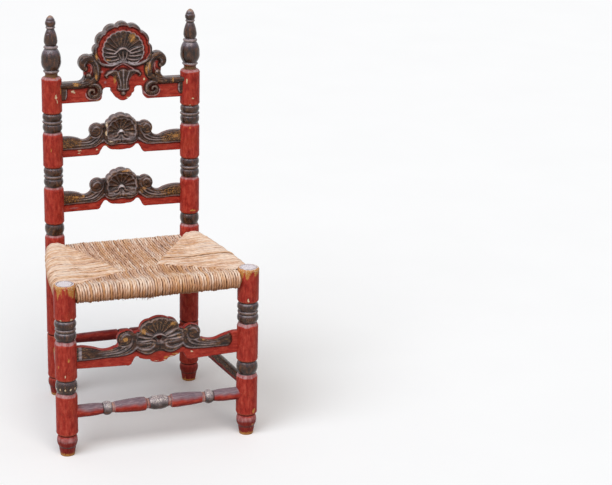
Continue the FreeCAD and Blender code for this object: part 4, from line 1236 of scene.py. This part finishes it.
def apron_shell(r):
    """Shell with its petals, the scroll under it, and the hood over its hub."""
    low_side = [(12, 264.5), (32, 256, 52, 267.5), (65.5, 290, 63.5, 313)]
    shell = r.polygon(sampled(over_shell(268, low_side, **APRON_SHELL), 1.6))
    r.swell(shell, 8.8, 4.5, 1)
    valley_grooves(r, APRON_SHELL, (44, 0.8), (61, 2.8), 4.2, 2.2)
    inside = np.minimum(np.minimum(shell - 2, r.b - 283 - 0.12 * r.a), r.disc(0, 297.5, 60))
    ridges = [-60, -30, -12, 5, 23, 43, 64, 82, 98]
    shell_dish(r, inside, (0, 301), ridges, scallop=2.4, rim=8.2, floor=0.2, groove=4.6, worn=0.3)
    r.paint("gold", np.minimum(inside - 4, r.b - 314), 0.34, 5)
    for petal, rise in (
        ([(16, 304, 1.8), (32, 311, 3.2), (48, 319, 3), (58, 323, 1.6)], 7.2),
        ([(19, 298.5, 1.8), (37, 301.5, 3.6), (54, 306, 3.4), (62, 308, 1.8)], 7.6),
        ([(22, 293, 2), (40, 291.5, 3.8), (56, 293.5, 3.6), (63, 296, 1.8)], 8),
    ):
        r.swell(r.stroke(petal), rise, 4.2, 2)
    scroll = [
        (64, 288, 2.6), (59, 276.5, 5.4), (46, 269, 7.4), (30, 267.5, 8.2), (15.5, 274, 7.2),
        (11, 285, 5.4), (17.5, 292.5, 3.8), (27, 291.5, 2.8), (31, 286.5, 1.6),
    ]
    r.swell(r.stroke(scroll), 9.2, 6.5, 2)
    r.grooves(
        1.9,
        (4.4, [(59, 286, 0.8), (50, 280, 1.7), (38, 277.5, 2.1), (25, 280, 1.9), (20, 286, 1)]),
        (2.6, [(57, 273, 0.6), (45, 265.5, 1.3), (30, 263.5, 1.4), (14, 268.5, 0.8)]),
        (4.6, [(0, 264, 1.4), (0, 271, 2), (0, 284, 1.4)]),
    )
    r.pale_lines(
        0.8,
        [(17, 305, 0.5), (32, 313.5, 1.1), (48, 323.5, 0.7)],
        [(20, 299.5, 0.5), (36, 303, 1.2), (55, 308, 0.7)],
        [(23, 294, 0.5), (40, 293, 1.3), (58, 296, 0.7)],
        [
            (61, 283, 0.6), (52, 275, 1.5), (40, 271.5, 1.8),
            (27, 272, 1.6), (15.5, 279.5, 1.2), (17, 290, 0.8),
        ],
        [(12, 266, 0.6), (26, 260, 1.4), (38, 260, 1.4), (50, 267, 0.8)],
    )
    hood = [(17, 300, 1.4), (11, 304.5, 2.2), (4, 307.5, 2.8), (-3, 308, 2.8)]
    r.mass(r.stroke(hood), 8.8, 2.8, mask="dust_and_sheen", outset=-0.5)
    r.sink(r.disc(0, 297, 7), 4.6, 4)
    r.clear("dark", r.disc(0, 299.5, 5.5))
    r.paint("gold", r.disc(16, 283, 5), 0.35)


def apron_relief():
    r = Relief(half_width=227, low=226, high=356, seed=301)
    apron_leaves(r)
    apron_shell(r)
    r.mark([
        (-42, 320, 9, 10, "gold"), (36, 334, 10, 8, "gold"), (50, 300, 7, 7, "gold"),
        (31, 243, 9, 2, "chip"), (47, 246.5, 6, 2, "chip"), (15, 234.5, 6, 2, "chip"),
        (58, 249.5, 4, 2, "chip"), (20, 241, 10, 4, "gold"), (42, 248, 12, 3, "gold"),
        (86, 250, 4.5, 4, "chip"), (120, 281, 12, 3, "gold"), (-90, 304, 9, 9, "gold"),
        (-58, 249, 4, 3, "chip"), (-8, 234, 7, 1.6, "chip"),
    ])
    dust_and_sheen = 0.88 * r.blurred(r.masks["dust_and_sheen"], 0.9)
    cuff = smooth(-202, -204.5, r.across) * smooth(-212, -209.5, r.across) * smooth(256, 259, r.up)
    r.masks["dust_and_sheen"] = most(dust_and_sheen, 0.9 * cuff)
    r.finish(301)
    return r


def make_boards():
    """The crest rail, slats and apron, with worn marks at (u, z, reach, reach upwards, mask)."""
    sizes = dict(front_y=REAR_Y - 9.0, back_y=REAR_Y + 12.0, middle_x=2.0, base_z=0.0)
    carved_board("crest_rail", crest_outline(), crest_relief(), **sizes, seed=1, dark_side=0.9)
    upper_marks = [
        (-112, 17, 8, 3, "chip"), (-66, 17, 4, 3, "chip"), (-114, 10, 5, 2, "chip"), (84, 62, 5, 9, "gold"),
        (148, 42, 12, 7, "gold"), (-40, 26, 6, 3, "gold"), (-40, 86, 4, 12, "chip"),
        (-42, 62, 4, 9, "chip"), (-30, 38, 8, 3, "chip"), (0, 66, 7, 4, "chip"),
    ]
    lower_marks = [
        (-126, 42, 14, 5, "gold"), (-105, 44, 5, 6, "gold"), (62, 54, 8, 6, "gold"),
        (10, 106, 16, 2.5, "gold"), (-130, 10, 10, 2, "dust_and_sheen"),
    ]
    sizes = dict(front_y=REAR_Y + 3.0, back_y=REAR_Y + 16.5, middle_x=-2.0, dark_side=0.62)
    upper, lower = slat_relief(201, upper_marks), slat_relief(211, lower_marks)
    carved_board("upper_slat", slat_outline(), upper, **sizes, base_z=UPPER_SLAT_Z, seed=2)
    carved_board("lower_slat", slat_outline(), lower, **sizes, base_z=LOWER_SLAT_Z, seed=3)
    sizes = dict(front_y=FRONT_Y - 3.5, back_y=FRONT_Y + 13.0, middle_x=2.5, base_z=0.0)
    carved_board("front_apron", apron_outline(), apron_relief(), **sizes, seed=4, dark_side=0.3)


# Rush seat: four sections of cord, with seams from the posts to two points and between these

SEAM_LEFT = (-75.0, -102.0)
SEAM_RIGHT = (30.0, -72.0)
FRONT_TURNS, REAR_TURNS, SIDE_TURNS = 66, 50, 55


def cord_loop(reach, top_z, bottom_z, rail_z, wide, high, sag, lift):
    """One turn of cord as (outward, z): from the bottom seam round the rail to the top seam.

    reach is from the rail to the seam. The roll round the rail goes wide outward and high up and down.
    The upper run hangs by sag, and rises by lift next to the roll.
    """
    count = max(3, int(reach / 7))
    path = []
    for i in range(count):
        t = i / count
        path.append((-reach * (1 - t), bottom_z + (rail_z - high - bottom_z) * smooth(0, 1, t)))
    for i in range(15):
        angle = math.pi * (i / 14 - 0.5)
        path.append((wide * math.cos(angle) ** 0.85, rail_z + high * math.sin(angle)))
    roll_top = rail_z + high
    for i in range(1, count + 1):
        t = i / count
        bow = lift * math.sin(math.pi * min(1, 2 * t)) - sag * math.sin(math.pi * t) * min(1, reach / 90)
        path.append((-reach * t, roll_top + (top_z - roll_top) * smooth(0, 1, t) + bow))
    return np.array(path + [(-reach - 1.6, top_z - 3.2), (-reach - 1.2, top_z - 9.0)])


def section_turns(draw):
    """Every turn of cord: its section, where it lies on its rail, which way is out, and its loop."""
    turns = []
    for word, out, rail_x, count, half in (
        ("front", -1, FRONT_X, FRONT_TURNS, 208.5),
        ("rear", 1, REAR_X, REAR_TURNS, 159.0),
    ):
        rail_y = out * REAR_Y
        seam_x = (-rail_x, SEAM_LEFT[0], SEAM_RIGHT[0], rail_x)
        for x in np.linspace(-half, half, count):
            reach = out * (rail_y - np.interp(x, seam_x, (rail_y, SEAM_LEFT[1], SEAM_RIGHT[1], rail_y)))
            share = np.interp(x, seam_x, (0, 1, 1, 0))
            if word == "front":
                sizes = dict(bottom_z=420.0, rail_z=436.6, wide=25.5, high=21.1 - (x / 213) ** 2, sag=5.0)
                top_z = 455.0 - 6.0 * share
            else:
                sizes = dict(bottom_z=416.0, rail_z=407.6, wide=25.15, high=20.1, sag=4.0)
                top_z = 434.0 + 12.0 * share
            loop = cord_loop(reach, top_z, lift=0.0, **sizes)
            turns.append((word, (x, rail_y), (0, out), loop))
    for word, side, (end_x, end_y) in (("left", -1, SEAM_LEFT), ("right", 1, SEAM_RIGHT)):
        seam_y = (FRONT_Y, end_y, REAR_Y)
        for y in np.linspace(-161.0, 163.0, SIDE_TURNS) + draw.normal(0, 0.2, SIDE_TURNS):
            back = (y - FRONT_Y) / (REAR_Y - FRONT_Y)
            rail_x = side * (FRONT_X + (REAR_X - FRONT_X) * back)
            reach = abs(np.interp(y, seam_y, (side * FRONT_X, end_x, side * REAR_X)) - rail_x)
            share = np.interp(y, seam_y, (0, 1, 0))
            top_z = 457.0 - 6.0 * share if y < end_y else 443.0 + 9.0 * share
            rail_z, bulge = 433.0 - 7.0 * back, 12.0 * math.sin(math.pi * back) ** 0.8
            loop = cord_loop(reach, top_z, 420.0, rail_z, wide=19.8 + bulge, high=19.8, sag=3.0, lift=1.5)
            turns.append((word, (rail_x, y), (side, 0), loop))
    return turns


def resampled(path, step):
    """Path points at even distances."""
    lengths = np.append(0, np.cumsum(np.linalg.norm(np.diff(path, axis=0), axis=1)))
    at = np.linspace(0, lengths[-1], max(8, int(lengths[-1] / step)))
    return np.column_stack([np.interp(at, lengths, path[:, i]) for i in (0, 1)]), at


def placed(origin, out, path):
    """Points in space of a path of (outward, z)."""
    return origin + path[:, :1] * out + path[:, 1:] * UP


class Bundle:
    """Collects the tubes of one section into one mesh."""

    def __init__(self):
        self.points, self.quads, self.fans = [], [], []
        self.masks = {"fibre": [], "tone": [], "hollow": []}
        self.total = 0

    def add(self, points, shape, **masks):
        """Closed tube of shape (rings, sides), given as the rings' points and its two end points."""
        quads, fans = tube_faces(*shape, self.total)
        self.quads.append(quads)
        self.fans.append(fans)
        self.points.append(points)
        for mask, values in masks.items():
            self.masks[mask].append(values)
        self.total += len(points)

    def tube(self, centres, at, axes, radii, tone, hollow, twist, phase, sides, key, flank):
        """Tube round centres, with a slightly two-stranded section that turns along it.

        at is the length along it. flank is how far painted shade darkens its sides, and key sets its fibres
        apart.
        """
        across, up = axes
        angles = np.arange(sides) * TAU / sides
        around = angles - (phase + twist * at)[:, None]
        strand = np.cos(2 * around)
        reach = (radii[:, None] * (1 + 0.11 * strand - 0.05 * strand**2))[..., None]
        outward = np.cos(angles)[:, None] * across + np.sin(angles)[:, None] * up[:, None]
        ring = centres[:, None] + reach * outward
        fibre = np.stack(np.broadcast_arrays(around * radii.mean(), at[:, None], key), axis=-1)
        ends = [[0, at[0], key], [0, at[-1], key]]
        # Painted shade on the cord's sides and in the groove between its two strands
        deep = np.clip(0.7 - np.sin(angles), 0, 1) * flank + hollow[:, None]
        deep = deep + 0.24 * smooth(-0.45, -1.0, strand)
        self.add(
            np.vstack([ring.reshape(-1, 3), centres[[0, -1]]]), (len(at), sides),
            fibre=np.vstack([fibre.reshape(-1, 3), ends]),
            tone=np.append(np.repeat(tone, sides), tone[[0, -1]]),
            hollow=np.append(deep, deep[[0, -1]].mean(axis=1)),
        )

    def finish(self, name):
        masks = {mask: np.concatenate(values) for mask, values in self.masks.items()}
        faces = np.vstack(self.quads), np.vstack(self.fans)
        make_piece(name, np.vstack(self.points), faces, masks, RUSH, ["rush_seat"])


def away_from(inside, centres, along_rail):
    """Directions square to a turn of cord and to its rail, which point away from the inside."""
    up = np.cross(np.gradient(centres, axis=0), along_rail)
    up /= np.linalg.norm(up, axis=1)[:, None]
    return up * np.sign((up * (centres - inside)).sum(axis=1))[:, None]


def make_seat():
    """The cords of the four sections, each turn with its own lie, thickness, tone and twist."""
    draw = np.random.default_rng(77)
    base_tone = {"front": 0.82, "rear": 0.67, "left": 0.84, "right": 0.88}
    wave_seed = {"front": 65, "rear": 64, "left": 64, "right": 65}
    bundles = {word: Bundle() for word in base_tone}
    cores = {word: [] for word in base_tone}
    for key, (word, (x, y), (ox, oy), loop) in enumerate(section_turns(draw)):
        path, at = resampled(loop, 3.6)
        outward, z = path.T

        def varied(wavelength, seed, waves=6):
            return ripple(at[:, None], wavelength, seed + key, waves)

        out, along_rail = np.array([ox, oy, 0.0]), np.array([oy, -ox, 0.0])
        on_side, on_rail = ox != 0, x if oy else y
        group = 0.55 * math.sin(on_rail * TAU / 19.0 + 3 * math.sin(on_rail / 37.0))
        field = np.column_stack([at, np.full(len(at), on_rail)])
        wander = draw.normal(0, 0.3) + 0.45 * varied(70.0, 1000) + ripple(field, 60.0, wave_seed[word], 8)
        rise = draw.normal(0, 0.45) + 0.55 * varied(45.0, 2000) + (1.2 if on_side else 0.3) * group

        origin = np.array([x, y, 0.0])
        centres = placed(origin, out, path)
        up = away_from(origin + loop[:, 1].mean() * UP - out * 20, centres, along_rail)
        left_to_go = at[-1] - at
        inner = smooth(0, 14, at) * smooth(0, 10, left_to_go)
        centres = centres + along_rail * (wander * inner)[:, None] + up * (rise * inner)[:, None]

        thick = draw.uniform(2.6, 3.05) * (1 + 0.09 * varied(28.0, 3000)) + 0.22
        height = centres[:, 2].copy()
        # Cords low under the seat get painted shade: a darker tone and more hollow
        under = smooth(404.0, 390.0, height) if word == "rear" else smooth(432.0, 415.0, height)
        tone = base_tone[word] + draw.normal(0, 0.11) + 0.13 * varied(60.0, 4000, 5)
        tone = tone + (0.14 if on_side else 0.0) * group
        if word == "front":
            lump = 1.3 * ripple([[x, 0.0]], 15.0, 78, 9) + 3.5 * math.exp(-(((x + 28.0) / 26.0) ** 2))
            centres[:, 2] -= smooth(426.0, 417.0, height) * inner * lump
            # Painted shadow on the front cords behind the roll
            tone = tone - 0.14 * smooth(25.0, 60.0, -outward) * smooth(436.0, 446.0, z)
        if word == "rear":
            # Painted highlight on the rear cords near their seam ends
            tone = tone + 0.22 * smooth(90.0, 10.0, left_to_go)
        # Painted highlight on upward-facing cords near their rails, and painted shade on the low cords
        # under the seat
        tone = tone + 0.15 * smooth(0.3, 0.95, up[:, 2]) * smooth(40, 0, np.abs(outward)) - 0.5 * under
        tone = tone + 0.10 * ripple(centres, 90.0, 500)
        # Painted shade near the seam ends, where cords dive under the next section, and under the seat
        hollow = 0.55 * smooth(9.0, 0.0, left_to_go) + 0.5 * under
        twist, phase = TAU / draw.uniform(26, 40), draw.uniform(0, TAU)
        rest = dict(sides=12, key=key * 13.7, flank=0.56 if on_side else 0.30)
        bundles[word].tube(centres, at, (along_rail, up), thick, tone, hollow, twist, phase, **rest)
        cores[word].append((origin, out, loop))
    add_frays(bundles["front"], draw)
    for word, bundle in bundles.items():
        add_core(bundle, cores[word])
        bundle.finish("rush_" + word)


def add_frays(bundle, draw):
    """Loose fibres that hug the front roll from below, and a frayed tuft that hangs from it."""
    axes = np.array([1.0, 0, 0]), np.array([[0, 1.0, 0]])
    for i in range(190):
        tuft, loose = i < 34, i < 74
        x = draw.normal(-30, 9) if tuft else draw.uniform(-200, 200)
        y = FRONT_Y + draw.uniform(-14, 8)
        length = draw.uniform(4, 9) if tuft else draw.uniform(3, 11)
        lean = draw.normal(0, 0.45 if tuft else 1.1, 2)
        fall = 0.95 if tuft else draw.uniform(0.25, 0.7) if loose else draw.uniform(0.05, 0.2)
        at = np.linspace(0, length + 6, 9)
        bend = (at / at[-1]) ** 2 * length
        top = 420.0 if loose else 418.0
        centres = np.column_stack([x + lean[0] * bend, y + lean[1] * bend * 0.4, top - at * fall])
        radii = np.linspace(1.1 if tuft else 0.8 if loose else 1.3, 0.28, len(at))
        tone = np.full(len(at), draw.uniform(0.1, 0.7 if loose else 0.4))
        key = 900 + i * 7.3
        bundle.tube(centres, at, axes, radii, tone, 0 * at, twist=0.3, phase=0, sides=5, key=key, flank=0.4)


def add_core(bundle, rows):
    """Closed dark body just under the cords of one section, its dark colour painted shade in the gaps
    between them.
    """
    inset, sides = 2.6, 40
    rings = []
    for origin, out, loop in rows:
        path, _ = resampled(loop, 2.0)
        outward, z = path.T
        path = path - np.column_stack([
            inset * np.clip(outward / 15, 0, 1), np.where(z > z.mean(), inset, -inset)
        ])
        even, _ = resampled(path, 2.0)
        at, every = np.linspace(0, len(even) - 1, sides), np.arange(len(even))
        even = np.column_stack([np.interp(at, every, even[:, i]) for i in (0, 1)])
        rings.append(placed(origin, out, even))
    points = np.vstack(rings + [rings[0].mean(axis=0), rings[-1].mean(axis=0)])
    tone, hollow = np.full(len(points), 0.2), np.full(len(points), 0.7)
    bundle.add(points, (len(rings), sides), fibre=points, tone=tone, hollow=hollow)


# Camera, light and floor


def make_camera():
    """Camera that sees the chair at its own place in the photograph's frame."""
    right = Vector((0.94748887, -0.31887310, 0.02418235))
    up = Vector((0.08442286, 0.32235387, 0.94284716))
    forward = Vector((0.30844387, 0.89129565, -0.33234688))
    place = Vector((-1.104764, -4.521255, 2.133291))
    focal_pixels, photo_width = 1881.374, 612.0
    camera = bpy.data.cameras.new("camera")
    camera.sensor_width = 36.0
    camera.lens = focal_pixels / photo_width * camera.sensor_width
    camera.clip_end = 200.0
    eye = link("camera", camera)
    eye.matrix_world = Matrix.Translation(place) @ Matrix((right, up, -forward)).transposed().to_4x4()
    bpy.context.scene.camera = eye


def seen_rays(tree):
    """1 for rays that show the surroundings, straight or in a gloss, and 0 for those that light."""
    rays = tree.nodes.new("ShaderNodeLightPath")
    names = ("Is Camera Ray", "Is Glossy Ray", "Is Transmission Ray")
    seen, gloss, through = [Value(tree, rays.outputs[name]) for name in names]
    return seen.math("MAXIMUM", gloss).math("MAXIMUM", through)


def make_light():
    """White surroundings that light less than they show, a key from the left and a light from the front."""
    world = bpy.data.worlds.new("world")
    world.use_nodes = True
    bpy.context.scene.world = world
    background = world.node_tree.nodes["Background"].inputs
    feed(background["Color"], (1, 1, 1, 1))
    feed(background["Strength"], seen_rays(world.node_tree).math("MAXIMUM", 0.38))
    for name, strength, colour, spread, elevation, azimuth in (
        ("key", 1.55, (0.91, 0.95, 1.0), 42.0, 48.0, -58.0),
        ("front", 1.05, (1.0, 0.96, 0.92), 34.0, 52.0, 2.0),
    ):
        lamp = bpy.data.lights.new(name, "SUN")
        lamp.energy, lamp.color, lamp.angle = strength, colour, math.radians(spread)
        a, e = math.radians(azimuth), math.radians(elevation)
        toward = Vector((math.sin(a) * math.cos(e), -math.cos(a) * math.cos(e), math.sin(e)))
        link(name, lamp).rotation_euler = toward.to_track_quat("Z", "Y").to_euler()


def make_floor():
    """Floor that is white to the eye and light grey to the rays that light the chair."""
    s = Surface("floor")
    grain = s.place().noise(3.0, 2.0)
    pale = grain.ramp((0.2, 253, 253, 253), (0.8, 255, 255, 255))
    lighting = grain.ramp((0.2, 176, 176, 176), (0.8, 179, 179, 179))
    s.set(Base_Color=mix(seen_rays(s.tree), lighting, pale), Roughness=0.9, Specular_IOR_Level=0.0)
    size = 40.0
    mesh = bpy.data.meshes.new("floor")
    corners = [(-size, -size, 0), (size, -size, 0), (size, size, 0), (-size, size, 0)]
    mesh.from_pydata(corners, [], [(0, 1, 2, 3)])
    mesh.materials.append(s.material)
    floor = link("floor", mesh)


def dress_hidden_nodes():
    """Materials for the seat rails and stuffing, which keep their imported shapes."""
    dowel, stuffing = plain_dowel(), dry_stuffing()
    for name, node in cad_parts.items():
        if name.startswith("seat_rail") or name == "seat_stuffing":
            node.data.materials.clear()
            node.data.materials.append(stuffing if name == "seat_stuffing" else dowel)


make_posts()
make_stretchers()
make_boards()
make_seat()
dress_hidden_nodes()
make_camera()
make_light()
make_floor()
bpy.context.scene.view_settings.view_transform = "Standard"
